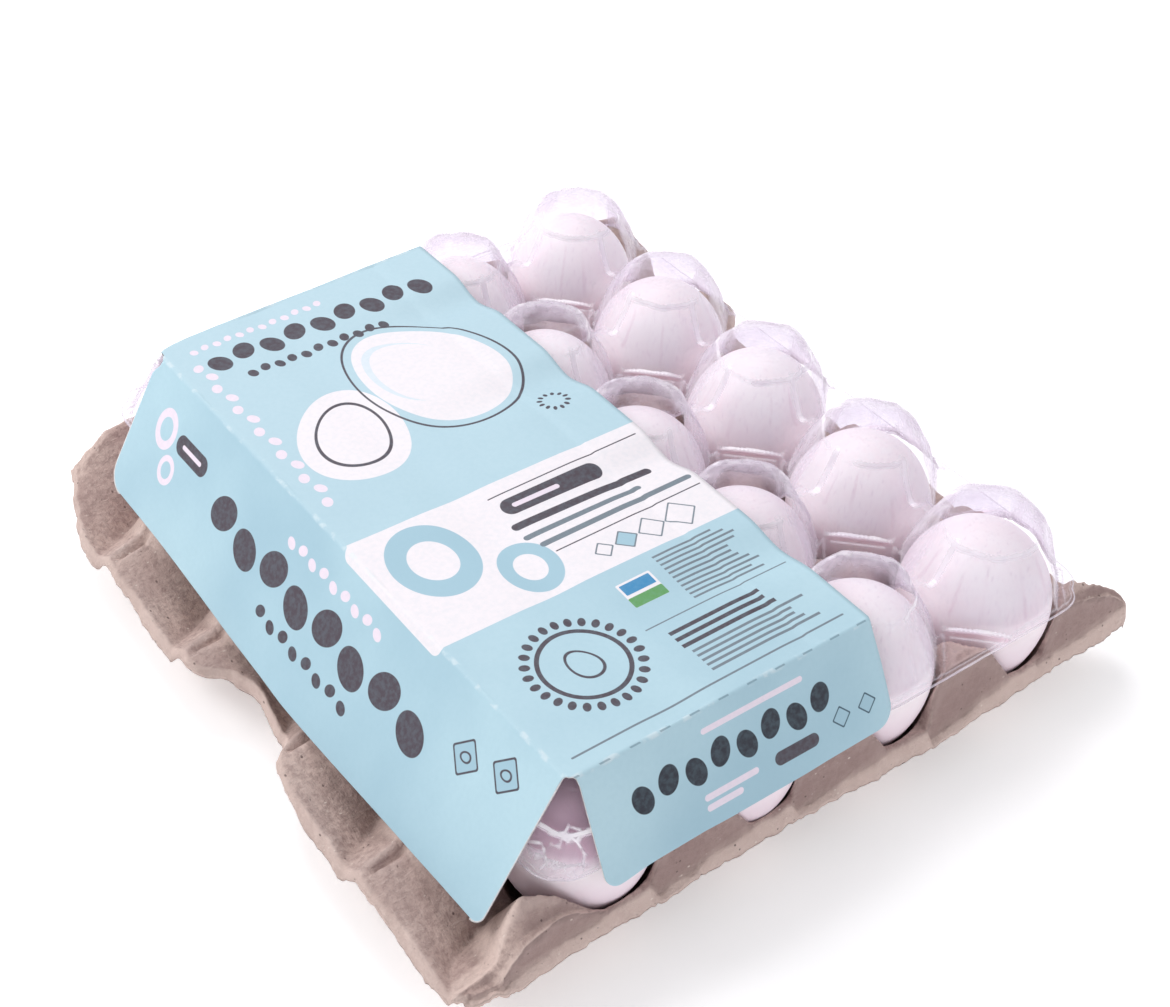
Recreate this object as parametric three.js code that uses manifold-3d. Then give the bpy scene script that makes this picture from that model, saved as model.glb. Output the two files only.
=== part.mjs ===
// Egg carton with eggs: a moulded pulp tray for four by five eggs, a clear
// thermoformed lid with one dome over each egg, and a folded board label
// that lies over the lid and hangs down three of its sides.
//
// Millimetres, +Z up. X is the side with four eggs, Y the side with five.
// The label covers the -X half of the lid, and the -Y end is the front.
// The origin is on the table, in the middle of the tray.
import * as THREE from "three";
import { mergeVertices } from "three/addons/utils/BufferGeometryUtils.js";
import Module from "manifold-3d";

const wasm = await Module();
wasm.setup();

// ---- driving dimensions -------------------------------------------------
const PITCH = 47.5; // from egg to egg, both ways
const COLS = 4;
const ROWS = 5;

const EGG_Z = 34.5; // height of every egg's widest circle
const EGG_R = 21.8; // nominal radius there
const EGG_UP = 25.4; // blunt end above it
const EGG_DOWN = 31.2; // pointed end below it
const EGG_SEGMENTS = 10;
const EGG_RINGS = 7;

const TRAY_X = 2.57 * PITCH; // half width over the long sides' scoops
const TRAY_Y = 2.54 * PITCH; // half length over the front and back lips
const TRAY_CORNER = 0.3 * PITCH; // plan radius of the tray's corners
const PULP = 1.8; // wall thickness of the pulp
const FLOOR_Z = 2.8; // top of each cup's flat floor
const POST_Z = EGG_Z + 6.4; // top of the posts between the eggs
const LIP_Z = EGG_Z - 15.7; // the long sides' outer lip
const END_LIP_Z = EGG_Z - 12.5; // the front and back lips
const NOTCH_X = 2.31 * PITCH; // half width at the finger notches

const LID_X = 2.0 * PITCH; // half width over the lid's flange
const LID_Y = 2.5 * PITCH;
const LID_CORNER = 0.38 * PITCH;
const SHEET = 0.5; // wall thickness of the clear sheet
const FLANGE_Z = EGG_Z + 8.3;
const BRIDGE_Z = EGG_Z + 16.8; // the short ridges that join dome to dome
const BRIDGE_SIDE_Z = EGG_Z + 14;
const DOME_Z = EGG_Z + 31.1; // the domes' flat tops

const BOARD = 0.5; // thickness of the label's board
const LABEL_Z = DOME_Z + 0.3; // underside of its top panel
const LABEL_X0 = -1.75 * PITCH; // left fold
const LABEL_X1 = 0.31 * PITCH; // free edge
const LABEL_Y0 = -2.235 * PITCH; // front fold
const LABEL_Y1 = 2.19 * PITCH; // back fold
const FLAPS = {
  left: { drop: 0.955 * PITCH, slope: 59 },
  front: { drop: 0.608 * PITCH, slope: 61 },
  back: { drop: 0.54 * PITCH, slope: 53 },
};
const FLAP_CORNER = 4;

// ---- small helpers ------------------------------------------------------
const smooth = (a, b, v) => {
  const t = Math.min(1, Math.max(0, (v - a) / (b - a)));
  return t * t * (3 - 2 * t);
};

// a value read off a short table of [position, value] pairs
function along(table, v) {
  if (v <= table[0][0]) return table[0][1];
  for (let i = 1; i < table.length; i++) {
    const [a, p] = table[i - 1];
    const [b, q] = table[i];
    if (v <= b) return p + ((q - p) * (v - a)) / (b - a);
  }
  return table[table.length - 1][1];
}

// grid lines over a row of cells: the same offsets round each centre, and
// extra lines outside the last one
function gridLines(cells, offsets, outer) {
  const half = [];
  for (let i = 0; i < cells; i++)
    for (const o of offsets) half.push(i - (cells - 1) / 2 + o);
  const last = (cells - 1) / 2;
  const cut = outer[0];
  const inner = half.filter((v) => Math.abs(v) < last + cut - 1e-6);
  const ends = outer.map((o) => last + o);
  const all = [...ends.map((v) => -v), ...inner, ...ends].map((v) => v * PITCH);
  all.sort((a, b) => a - b);
  return all.filter((v, i) => i === 0 || v - all[i - 1] > 1e-6);
}

// the offset from the nearest cell centre
function local(v, cells) {
  const last = (cells - 1) / 2;
  const u = v / PITCH + last;
  const i = Math.min(cells - 1, Math.max(0, Math.round(u)));
  return (u - i) * PITCH;
}

// rounds the corner of a rectangle of nested loops in plan
function roundCorner(x, y, halfX, halfY, radius) {
  const rx = Math.abs(x) - (halfX - radius);
  const ry = Math.abs(y) - (halfY - radius);
  if (rx <= 0 || ry <= 0) return [x, y];
  const k = Math.max(rx, ry) / Math.hypot(rx, ry);
  return [
    Math.sign(x) * (halfX - radius + rx * k),
    Math.sign(y) * (halfY - radius + ry * k),
  ];
}

// one closed shell: a top surface over a grid, and an underside that lies
// one wall thickness below it along the surface's normal
function shell(xs, ys, top, wall, bend, flatBelow = null) {
  const nx = xs.length;
  const ny = ys.length;
  const at = (i, j) => j * nx + i;
  const up = [];
  for (const y of ys) for (const x of xs) up.push(new THREE.Vector3(...top(x, y)));
  const faces = [];
  for (let j = 0; j + 1 < ny; j++)
    for (let i = 0; i + 1 < nx; i++) {
      const [a, b, c, d] = [at(i, j), at(i + 1, j), at(i + 1, j + 1), at(i, j + 1)];
      const ac = up[a].z + up[c].z;
      const bd = up[b].z + up[d].z;
      // the fold runs along the lower diagonal in a bowl, the higher in a dome
      if (bend * (ac - bd) > 0) faces.push([a, b, c], [a, c, d]);
      else faces.push([a, b, d], [b, c, d]);
    }
  const normals = up.map(() => new THREE.Vector3());
  for (const [a, b, c] of faces) {
    const n = up[b].clone().sub(up[a]).cross(up[c].clone().sub(up[a]));
    for (const v of [a, b, c]) normals[v].add(n);
  }
  const down = up.map((p, i) => {
    if (flatBelow !== null && p.z < flatBelow + 1e-6)
      return new THREE.Vector3(p.x, p.y, 0);
    return p.clone().addScaledVector(normals[i].normalize(), -wall);
  });
  const index = [];
  const n = up.length;
  for (const [a, b, c] of faces) index.push(a, b, c, n + c, n + b, n + a);
  const rim = [];
  for (let i = 0; i < nx - 1; i++) rim.push(at(i, 0));
  for (let j = 0; j < ny - 1; j++) rim.push(at(nx - 1, j));
  for (let i = nx - 1; i > 0; i--) rim.push(at(i, ny - 1));
  for (let j = ny - 1; j > 0; j--) rim.push(at(0, j));
  rim.forEach((a, k) => {
    const b = rim[(k + 1) % rim.length];
    index.push(a, n + a, b, b, n + a, n + b);
  });
  const geometry = new THREE.BufferGeometry();
  const flat = [...up, ...down].flatMap((p) => [p.x, p.y, p.z]);
  geometry.setAttribute("position", new THREE.Float32BufferAttribute(flat, 3));
  geometry.setIndex(index);
  geometry.computeVertexNormals();
  return geometry;
}

// ---- the tray -----------------------------------------------------------
// Height of a cup's wall over its distance from the egg's axis.
const CUP = [
  [0, FLOOR_Z],
  [13.6, FLOOR_Z],
  [17.6, EGG_Z - 19.5],
  [20.0, EGG_Z - 15.5],
  [23.8, EGG_Z - 5.5],
  [24.8, EGG_Z - 2.4],
  [29.6, POST_Z - 1.3],
  [32, POST_Z],
];
// Along the long sides the tray flares out past the eggs: a smooth scoop in
// front of each egg, and a rib that falls from each post to the lip.
const SCOOP = [[0, EGG_Z - 21.4], [0.35, EGG_Z - 21.8], [0.74, EGG_Z - 19], [1, LIP_Z]];
const RIB = [[0, POST_Z], [0.35, EGG_Z - 11.4], [0.74, EGG_Z - 14.7], [1, LIP_Z]];
const CORNER_RIB = [[0, POST_Z], [0.35, EGG_Z], [0.74, EGG_Z - 9], [1, EGG_Z - 14.2]];
const RIB_RISE = [[0, 0], [0.2, 0.15], [0.37, 0.6], [0.5, 1]];

const TRAY_XS = gridLines(COLS, [-0.5, -0.37, -0.2, 0, 0.2, 0.37], [0.5, 0.7, 0.92, 1.07]);
const TRAY_YS = gridLines(ROWS, [-0.5, -0.37, -0.2, 0, 0.2, 0.37], [0.45, 0.495, 0.54]);

function trayTop(x, y) {
  const lx = local(x, COLS);
  const ly = local(y, ROWS);
  const side = (COLS / 2) * PITCH; // where the long side's flare begins
  const end = ((ROWS - 1) / 2 + 0.45) * PITCH; // the humps' outer edge
  let z = along(CUP, Math.hypot(lx, ly));
  const out = (Math.abs(x) - side) / (TRAY_X - side);
  const u = Math.min(0.5, Math.abs(ly) / PITCH);
  if (out >= -1e-9) {
    const corner = smooth(2.1 * PITCH, 2.4 * PITCH, Math.abs(y));
    const rib = along(RIB, out) * (1 - corner) + along(CORNER_RIB, out) * corner;
    const rise = corner > 0.9 ? smooth(0.2, 0.45, u) : along(RIB_RISE, u);
    z = along(SCOOP, out) + (rib - along(SCOOP, out)) * rise;
  }
  const past = Math.abs(y) - end;
  if (past > -1e-6 && Math.abs(lx) < 0.3 * PITCH && out < 0)
    z = END_LIP_Z + 0.6; // the rim dips in front of each egg
  if (past > 1) z = END_LIP_Z;
  if (past > 3) z = END_LIP_Z - 1.8;
  if (past > 1 && out > 0) z = Math.min(z, END_LIP_Z + (LIP_Z - END_LIP_Z) * out);
  // the finger notch in the middle of each long side
  let px = x;
  if (out > 0) {
    const notch = 1 - smooth(0.36 * PITCH, 0.52 * PITCH, Math.abs(y));
    const reach = TRAY_X + (NOTCH_X - TRAY_X) * notch;
    px = Math.sign(x) * (side + out * (reach - side));
  }
  const [rx, ry] = roundCorner(px, y, TRAY_X, TRAY_Y, TRAY_CORNER);
  return [rx, ry, z];
}

// ---- the lid ------------------------------------------------------------
const LID_OFFSETS = [-0.5, -0.38, -0.19, 0.19, 0.38];
const LID_XS = gridLines(COLS, LID_OFFSETS, [0.35, 0.39, 0.465, 0.5]);
const LID_YS = gridLines(ROWS, LID_OFFSETS, [0.35, 0.39, 0.465, 0.5]);

function lidTop(x, y) {
  const lx = Math.abs(local(x, COLS)) / PITCH;
  const ly = Math.abs(local(y, ROWS)) / PITCH;
  const ox = Math.abs(x) / PITCH - (COLS - 1) / 2;
  const oy = Math.abs(y) / PITCH - (ROWS - 1) / 2;
  const edge = Math.max(ox, oy);
  // the end rows' flat tops stop short of the label's folds
  if (oy > 0.18 && oy < 0.2) y = Math.sign(y) * ((ROWS - 1) / 2 + 0.165) * PITCH;
  let z; // between four domes the sheet drops to a low pad over each post
  if (Math.max(lx, ly) < 0.2) z = DOME_Z;
  else if (Math.min(lx, ly) > 0.2) z = edge < 0.36 && edge > 0.34 ? BRIDGE_Z - 3.6 : FLANGE_Z;
  else if (Math.max(lx, ly) < 0.355) z = BRIDGE_Z + 2;
  else z = Math.max(lx, ly) < 0.39 ? BRIDGE_Z : BRIDGE_SIDE_Z;
  if (edge > 0.37 && Math.min(lx, ly) < 0.2) z = BRIDGE_Z;
  if (edge > 0.44) z = FLANGE_Z;
  const [rx, ry] = roundCorner(x, y, LID_X, LID_Y, LID_CORNER);
  return [rx, ry, z];
}

// ---- the eggs -----------------------------------------------------------
// Each egg's own shift from its cup's centre, radius and blunt-end height:
// no two eggs are quite alike. Listed by column, from the back row forward.
const EGG_SET = [
  [[-0.3, 0.2, 21.6, 25.2], [0.2, -0.4, 21.8, 25.6], [0.1, 0.3, 21.5, 25.0], [-0.2, 0.1, 21.9, 25.5], [0.2, 0.3, 21.9, 25.0]],
  [[0.1, -0.2, 21.7, 25.4], [-0.3, 0.2, 21.6, 24.9], [0.2, 0.1, 21.8, 25.7], [0.1, -0.3, 21.5, 25.2], [0.4, -0.3, 21.9, 25.3]],
  [[0.2, 0, 21.8, 25.6], [0, -0.8, 21.6, 24.5], [-0.3, -0.7, 21.5, 24.5], [0.1, 0, 21.8, 25.5], [0.2, -0.1, 22.1, 25.6]],
  [[-0.7, 0.4, 21.5, 25.6], [0, 0.3, 21.9, 26.0], [0.4, 0.2, 22, 26.1], [0, 0, 21.6, 25.5], [-0.2, 0.2, 21.9, 25.6]],
];

function eggGeometry(radius, up) {
  const profile = [];
  for (let k = 0; k <= EGG_RINGS; k++) {
    const a = (Math.PI * k) / EGG_RINGS - Math.PI / 2;
    const s = Math.sin(a);
    const end = k === 0 || k === EGG_RINGS;
    // the pointed end is a little more conical than the blunt one
    const taper = s < 0 ? 1 + 0.08 * s : 1;
    profile.push(
      new THREE.Vector2(
        end ? 0 : radius * Math.cos(a) * taper,
        s < 0 ? s * EGG_DOWN : s * up,
      ),
    );
  }
  return new THREE.LatheGeometry(profile, EGG_SEGMENTS).rotateX(Math.PI / 2);
}

// ---- the label ----------------------------------------------------------
function solid(geometry) {
  geometry.deleteAttribute("normal");
  geometry.deleteAttribute("uv");
  const merged = mergeVertices(geometry, 1e-4);
  return new wasm.Manifold(
    new wasm.Mesh({
      numProp: 3,
      vertProperties: new Float32Array(merged.attributes.position.array),
      triVerts: new Uint32Array(merged.index.array),
    }),
  );
}

function toGeometry(manifold) {
  const mesh = manifold.getMesh();
  const geometry = new THREE.BufferGeometry();
  geometry.setAttribute("position", new THREE.BufferAttribute(mesh.vertProperties, 3));
  geometry.setIndex(new THREE.BufferAttribute(mesh.triVerts, 1));
  geometry.computeVertexNormals();
  return geometry;
}

// A flap lies in its own plane: s runs along the fold and t down the slope.
// It starts a little above the fold, so that it is one piece with the panel.
function flap(s0, s1, drop, taper0, taper1) {
  const r = FLAP_CORNER;
  const shape = new THREE.Shape();
  shape.moveTo(s0, 0);
  shape.lineTo(s0 + taper0, drop - r);
  shape.quadraticCurveTo(s0 + taper0, drop, s0 + taper0 + r, drop);
  shape.lineTo(s1 - taper1 - r, drop);
  shape.quadraticCurveTo(s1 - taper1, drop, s1 - taper1, drop - r);
  shape.lineTo(s1, 0);
  shape.closePath();
  return new THREE.ExtrudeGeometry(shape, {
    depth: BOARD,
    bevelEnabled: false,
    curveSegments: 4,
  });
}

// turns a flap's (s, t, thickness) into the world: `along` is the fold's
// direction and `out` points away from the pack in plan
function hang(geometry, origin, alongFold, out, slope) {
  const t = new THREE.Vector3(out.x, out.y, 0)
    .multiplyScalar(Math.cos(slope))
    .add(new THREE.Vector3(0, 0, -Math.sin(slope)));
  const n = new THREE.Vector3().crossVectors(alongFold, t);
  const m = new THREE.Matrix4().makeBasis(alongFold, t, n);
  m.setPosition(origin);
  return geometry.translate(0, 0, -BOARD).applyMatrix4(m);
}

function labelGeometry() {
  const rad = Math.PI / 180;
  const panel = new THREE.BoxGeometry(LABEL_X1 - LABEL_X0, LABEL_Y1 - LABEL_Y0, BOARD);
  panel.translate((LABEL_X0 + LABEL_X1) / 2, (LABEL_Y0 + LABEL_Y1) / 2, LABEL_Z + BOARD / 2);
  const z = LABEL_Z;
  const lap = 0.02; // the flap's root reaches this far into the panel's edge
  const left = hang(
    flap(-(LABEL_Y1 - 1), -(LABEL_Y0 + 1), FLAPS.left.drop, 3, 2),
    new THREE.Vector3(LABEL_X0 + lap, 0, z + lap),
    new THREE.Vector3(0, -1, 0),
    new THREE.Vector3(-1, 0, 0),
    FLAPS.left.slope * rad,
  );
  const front = hang(
    flap(LABEL_X0 + 1, LABEL_X1, FLAPS.front.drop, 1.6, 0.5),
    new THREE.Vector3(0, LABEL_Y0 + lap, z + lap),
    new THREE.Vector3(1, 0, 0),
    new THREE.Vector3(0, -1, 0),
    FLAPS.front.slope * rad,
  );
  const back = hang(
    flap(-LABEL_X1, -(LABEL_X0 + 1), FLAPS.back.drop, 0.5, 1.6),
    new THREE.Vector3(0, LABEL_Y1 - lap, z + lap),
    new THREE.Vector3(-1, 0, 0),
    new THREE.Vector3(0, 1, 0),
    FLAPS.back.slope * rad,
  );
  let whole = solid(panel);
  for (const g of [left, front, back]) whole = whole.add(solid(g));
  return toGeometry(whole);
}

// ---- the carton ---------------------------------------------------------
const finish = (color, roughness, extra = {}) =>
  new THREE.MeshStandardMaterial({ color, roughness, metalness: 0, ...extra });

const carton = new THREE.Group();
function place(name, geometry, material, position = [0, 0, 0]) {
  const mesh = new THREE.Mesh(geometry, material);
  mesh.name = name;
  mesh.position.set(...position);
  carton.add(mesh);
}

place("tray", shell(TRAY_XS, TRAY_YS, trayTop, PULP, -1, FLOOR_Z), finish(0xb8a196, 0.95));
place(
  "lid",
  shell(LID_XS, LID_YS, lidTop, SHEET, 1),
  finish(0xe6e0f0, 0.12, { transparent: true, opacity: 0.3 }),
);
place("label", labelGeometry(), finish(0xbcdce8, 0.6));
let count = 0;
for (let row = 0; row < ROWS; row++)
  for (let col = 0; col < COLS; col++) {
    const [dx, dy, radius, up] = EGG_SET[col][row];
    count += 1;
    place(
      "egg_" + String(count).padStart(2, "0"),
      eggGeometry(radius, up),
      finish(0xf0e6ea, 0.5),
      [
        (col - (COLS - 1) / 2) * PITCH + dx,
        ((ROWS - 1) / 2 - row) * PITCH + dy,
        EGG_Z,
      ],
    );
  }

export default carton;
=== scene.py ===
import math

import bpy
import numpy as np
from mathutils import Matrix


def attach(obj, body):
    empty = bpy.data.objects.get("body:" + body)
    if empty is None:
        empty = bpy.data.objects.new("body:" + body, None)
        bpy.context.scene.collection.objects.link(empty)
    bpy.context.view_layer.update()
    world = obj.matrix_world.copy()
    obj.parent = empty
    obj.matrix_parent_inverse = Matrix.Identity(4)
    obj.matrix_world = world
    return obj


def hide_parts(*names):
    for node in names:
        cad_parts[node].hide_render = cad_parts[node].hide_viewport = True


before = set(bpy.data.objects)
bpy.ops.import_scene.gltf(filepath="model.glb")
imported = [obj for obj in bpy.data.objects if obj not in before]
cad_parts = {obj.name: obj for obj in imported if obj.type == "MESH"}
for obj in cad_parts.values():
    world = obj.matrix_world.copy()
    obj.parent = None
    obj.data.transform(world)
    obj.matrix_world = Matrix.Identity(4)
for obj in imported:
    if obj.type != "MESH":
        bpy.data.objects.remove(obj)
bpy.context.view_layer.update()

# Sizes in millimetres, in the object's own frame: X is the side with four
# eggs, Y the side with five, and the label lies over the -X half.
P = 47.5  # from egg to egg
COLS, ROWS = 4, 5
ZE = 34.5  # height of every egg's widest circle
MM = 0.001


# ---------------------------------------------------------------- helpers
def smooth(a, b, v):
    t = np.clip((np.asarray(v, float) - a) / (b - a), 0.0, 1.0)
    return t * t * (3 - 2 * t)


def table(points, blur=0.0, lo=-20.0, hi=80.0, n=4001):
    """A function that reads a value off a short table, with its corners rounded by blur."""
    xs, ys = zip(*points)
    d = np.linspace(lo, hi, n)
    v = np.interp(d, xs, ys)
    if blur > 0:
        step = d[1] - d[0]
        m = int(3 * blur / step) + 1
        k = np.exp(-0.5 * (np.arange(-m, m + 1) * step / blur) ** 2)
        v = np.convolve(np.pad(v, m, mode="edge"), k / k.sum(), mode="valid")
    return lambda q: np.interp(q, d, v)


def vnoise(x, y, seed):
    """Smooth random numbers between -1 and 1 over the plane, one lattice cell per unit."""
    lattice = np.random.RandomState(seed).rand(128, 128) * 2 - 1
    xi, yi = np.floor(x).astype(int), np.floor(y).astype(int)
    fx, fy = x - xi, y - yi
    fx = fx * fx * fx * (fx * (fx * 6 - 15) + 10)
    fy = fy * fy * fy * (fy * (fy * 6 - 15) + 10)
    a, b = lattice[yi % 128, xi % 128], lattice[yi % 128, (xi + 1) % 128]
    c, d = lattice[(yi + 1) % 128, xi % 128], lattice[(yi + 1) % 128, (xi + 1) % 128]
    return (a * (1 - fx) + b * fx) * (1 - fy) + (c * (1 - fx) + d * fx) * fy


def fbm(x, y, size, seed, octaves=3):
    total, weight, norm = 0.0, 1.0, 0.0
    for k in range(octaves):
        s = size / 2**k
        total = total + weight * vnoise(x / s + 31.7 * k, y / s + 11.3 * k, seed + k)
        norm += weight
        weight *= 0.5
    return total / norm


def smin(a, b, k):
    h = np.clip(0.5 + 0.5 * (b - a) / k, 0, 1)
    return b * (1 - h) + a * h - k * h * (1 - h)


def smax(a, b, k):
    return -smin(-a, -b, k)


def cell(v, count):
    """The offset from the nearest cell's centre, and that cell's number."""
    i = np.clip(np.round(v / P + (count - 1) / 2), 0, count - 1)
    return v - (i - (count - 1) / 2) * P, i


def round_corner(x, y, half_x, half_y, radius):
    rx, ry = np.abs(x) - (half_x - radius), np.abs(y) - (half_y - radius)
    inside = (rx <= 0) | (ry <= 0)
    h = np.hypot(rx, ry)
    k = np.where(inside, 1.0, np.maximum(rx, ry) / np.where(h < 1e-9, 1, h))
    nx = np.where(inside, x, np.sign(x) * (half_x - radius + rx * k))
    ny = np.where(inside, y, np.sign(y) * (half_y - radius + ry * k))
    return nx, ny


def new_object(name, verts, faces, mats, body="root", smooth_faces=True, slots=None):
    """verts in millimetres; slots gives each face's material number."""
    mesh = bpy.data.meshes.new(name)
    mesh.from_pydata((np.asarray(verts) * MM).tolist(), [], faces)
    mesh.validate()
    obj = bpy.data.objects.new(name, mesh)
    bpy.context.scene.collection.objects.link(obj)
    for m in mats if isinstance(mats, (list, tuple)) else [mats]:
        mesh.materials.append(m)
    mesh.polygons.foreach_set("use_smooth", [smooth_faces] * len(mesh.polygons))
    if slots is not None:
        mesh.polygons.foreach_set("material_index", slots)
    mesh.update()
    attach(obj, body)
    return obj


def grid_faces(nx, ny, start=0, flip=False):
    i, j = np.meshgrid(np.arange(nx - 1), np.arange(ny - 1))
    a = (j * nx + i).ravel() + start
    q = np.stack([a, a + 1, a + nx + 1, a + nx], 1)
    return q[:, ::-1] if flip else q


def shell(name, X, Y, Z, thick, most, mats, floor=None):
    """A closed sheet: its top is a grid of points and its underside lies below it."""
    ny, nx = X.shape
    gx = np.gradient(Z, axis=1) / np.maximum(np.abs(np.gradient(X, axis=1)), 1e-3)
    gy = np.gradient(Z, axis=0) / np.maximum(np.abs(np.gradient(Y, axis=0)), 1e-3)
    drop = np.minimum(thick * np.sqrt(1 + gx**2 + gy**2), most)
    low = Z - drop
    if floor is not None:
        low = low - (low * (1 - smooth(floor, floor + 1.5, Z)))
    top = np.stack([X, Y, Z], -1).reshape(-1, 3)
    bottom = np.stack([X, Y, low], -1).reshape(-1, 3)
    n = nx * ny
    rim = np.concatenate([
        np.arange(0, nx - 1),
        np.arange(nx - 1, n - 1, nx),
        np.arange(n - 1, n - nx, -1),
        np.arange(n - nx, 0, -nx),
    ])
    nxt = np.roll(rim, -1)
    wall = np.stack([rim, rim + n, nxt + n, nxt], 1)
    faces = np.concatenate([grid_faces(nx, ny), grid_faces(nx, ny, n, True), wall])
    obj = new_object(name, np.concatenate([top, bottom]), faces.tolist(), mats)
    return obj, n


def float_layer(obj, name, values):
    layer = obj.data.attributes.new(name, "FLOAT", "POINT")
    layer.data.foreach_set("value", np.asarray(values, np.float32))


# ------------------------------------------------------------- materials
def srgb(r, g, b):
    def lin(c):
        c /= 255.0
        return c / 12.92 if c <= 0.04045 else ((c + 0.055) / 1.055) ** 2.4
    return (lin(r), lin(g), lin(b), 1.0)


class Nodes:
    """Short calls that add shader nodes."""

    def __init__(self, name):
        self.mat = bpy.data.materials.new(name)
        self.mat.use_nodes = True
        self.nt = self.mat.node_tree
        self.nt.nodes.clear()
        self.out = self.nt.nodes.new("ShaderNodeOutputMaterial")

    def new(self, kind, **props):
        n = self.nt.nodes.new("ShaderNode" + kind)
        for k, v in props.items():
            setattr(n, k, v)
        return n

    def put(self, socket, value):
        if isinstance(value, bpy.types.NodeSocket):
            self.nt.links.new(value, socket)
        elif value is not None:
            socket.default_value = value

    def math(self, op, a, b=None, c=None, clamp=False):
        n = self.new("Math", operation=op, use_clamp=clamp)
        for k, v in enumerate((a, b, c)):
            if v is not None:
                self.put(n.inputs[k], v)
        return n.outputs[0]

    def ramp(self, v, a, b, lo=0.0, hi=1.0):
        n = self.new("MapRange", interpolation_type="SMOOTHSTEP")
        for k, s in zip(("Value", "From Min", "From Max", "To Min", "To Max"), (v, a, b, lo, hi)):
            self.put(n.inputs[k], s)
        return n.outputs[0]

    def mix(self, fac, a, b, blend="MIX"):
        n = self.new("Mix", data_type="RGBA", blend_type=blend)
        self.put(n.inputs[0], fac)
        self.put(n.inputs[6], a)
        self.put(n.inputs[7], b)
        return n.outputs[2]

    def noise(self, vec, scale, detail=3.0, rough=0.5, dims="3D"):
        n = self.new("TexNoise", noise_dimensions=dims)
        self.put(n.inputs["Vector"], vec)
        n.inputs["Scale"].default_value = scale
        n.inputs["Detail"].default_value = detail
        n.inputs["Roughness"].default_value = rough
        return n.outputs["Fac"]

    def voronoi(self, vec, scale, feature="F1", randomness=1.0):
        n = self.new("TexVoronoi", feature=feature)
        self.put(n.inputs["Vector"], vec)
        n.inputs["Scale"].default_value = scale
        n.inputs["Randomness"].default_value = randomness
        return n

    def attr(self, name):
        return self.new("Attribute", attribute_name=name).outputs["Fac"]

    def coords(self):
        return self.new("TexCoord").outputs["Object"]

    def mapped(self, vec, scale=(1, 1, 1), rot=(0, 0, 0)):
        n = self.new("Mapping")
        self.put(n.inputs["Vector"], vec)
        n.inputs["Scale"].default_value = scale
        n.inputs["Rotation"].default_value = rot
        return n.outputs[0]

    def bump(self, height, strength, distance, normal=None):
        n = self.new("Bump")
        n.inputs["Strength"].default_value = strength
        n.inputs["Distance"].default_value = distance
        self.put(n.inputs["Height"], height)
        if normal is not None:
            self.put(n.inputs["Normal"], normal)
        return n.outputs[0]

    def principled(self, color, rough, normal=None, **sockets):
        n = self.new("BsdfPrincipled")
        self.put(n.inputs["Base Color"], color)
        self.put(n.inputs["Roughness"], rough)
        if normal is not None:
            self.put(n.inputs["Normal"], normal)
        for k, v in sockets.items():
            self.put(n.inputs[k.replace("_", " ")], v)
        return n.outputs[0]

    def surface(self, shader):
        self.nt.links.new(shader, self.out.inputs["Surface"])
        return self.mat


def pulp_material():
    """Grey-brown moulded pulp: cloudy, fibrous, flecked, and paler along its torn edge, with painted light on its
    crests and left-turned faces and painted shade in its pits and front faces.
    """
    m = Nodes("pulp")
    co = m.coords()
    cloud = m.noise(co, 55, 4, 0.6)
    fine = m.noise(co, 520, 4, 0.7)
    fibre_a = m.noise(m.mapped(co, (260, 1500, 900), (0.2, 0.1, 0.5)), 1.0, 3, 0.6)
    fibre_b = m.noise(m.mapped(co, (1500, 260, 900), (0.1, 0.3, 0.35)), 1.0, 3, 0.6)
    fibres = m.math("MAXIMUM", fibre_a, fibre_b)
    color = m.mix(m.ramp(cloud, 0.32, 0.7), srgb(184, 160, 153), srgb(207, 184, 175))
    color = m.mix(m.ramp(fine, 0.38, 0.66, 0.0, 0.7), color, srgb(156, 133, 128))
    color = m.mix(m.ramp(fibres, 0.58, 0.76, 0.0, 0.5), color, srgb(218, 198, 190))
    # painted light and shade: the crests are paler and the deep places darker, steep faces turned to the front are
    # darker, faces turned to the left are paler, and so are faces turned to the back at the front-left corner
    color = m.mix(m.math("MULTIPLY", m.attr("crest"), 0.55), color, srgb(226, 205, 197))
    color = m.mix(m.math("MULTIPLY", m.attr("painted_pit_shade"), 0.42), color, srgb(128, 106, 100))
    color = m.mix(m.math("MULTIPLY", m.attr("steep"), 0.75), color, srgb(148, 125, 122))
    color = m.mix(m.math("MULTIPLY", m.attr("wear_and_painted_light"), 0.6), color, srgb(232, 210, 200))
    lip = m.math("MULTIPLY", m.attr("lip"), m.ramp(fine, 0.3, 0.7, 0.35, 0.8))
    color = m.mix(lip, color, srgb(220, 199, 190))
    # dark and pale flecks of the waste paper
    vor = m.voronoi(m.mapped(co, (420, 260, 420), (0.3, 0.2, 0.6)), 1.0)
    patch = m.noise(co, 190, 2)
    fleck = m.math("MULTIPLY", m.ramp(vor.outputs["Distance"], 0.17, 0.1), m.ramp(patch, 0.52, 0.6))
    color = m.mix(m.math("MULTIPLY", fleck, 0.75), color, srgb(84, 70, 68))
    vor2 = m.voronoi(m.mapped(co, (300, 620, 400), (0.1, 0.5, 0.2)), 1.0)
    fleck2 = m.math("MULTIPLY", m.ramp(vor2.outputs["Distance"], 0.16, 0.08), m.ramp(patch, 0.47, 0.4))
    color = m.mix(m.math("MULTIPLY", fleck2, 0.6), color, srgb(236, 224, 214))
    height = m.math("ADD", m.math("MULTIPLY", fine, 0.6), m.math("MULTIPLY", fibres, 0.7))
    height = m.math("ADD", height, m.math("MULTIPLY", m.noise(co, 1500, 2), 0.25))
    normal = m.bump(height, 0.85, 0.0007)
    return m.surface(m.principled(color, 0.95, normal, Specular_IOR_Level=0.15))


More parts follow.
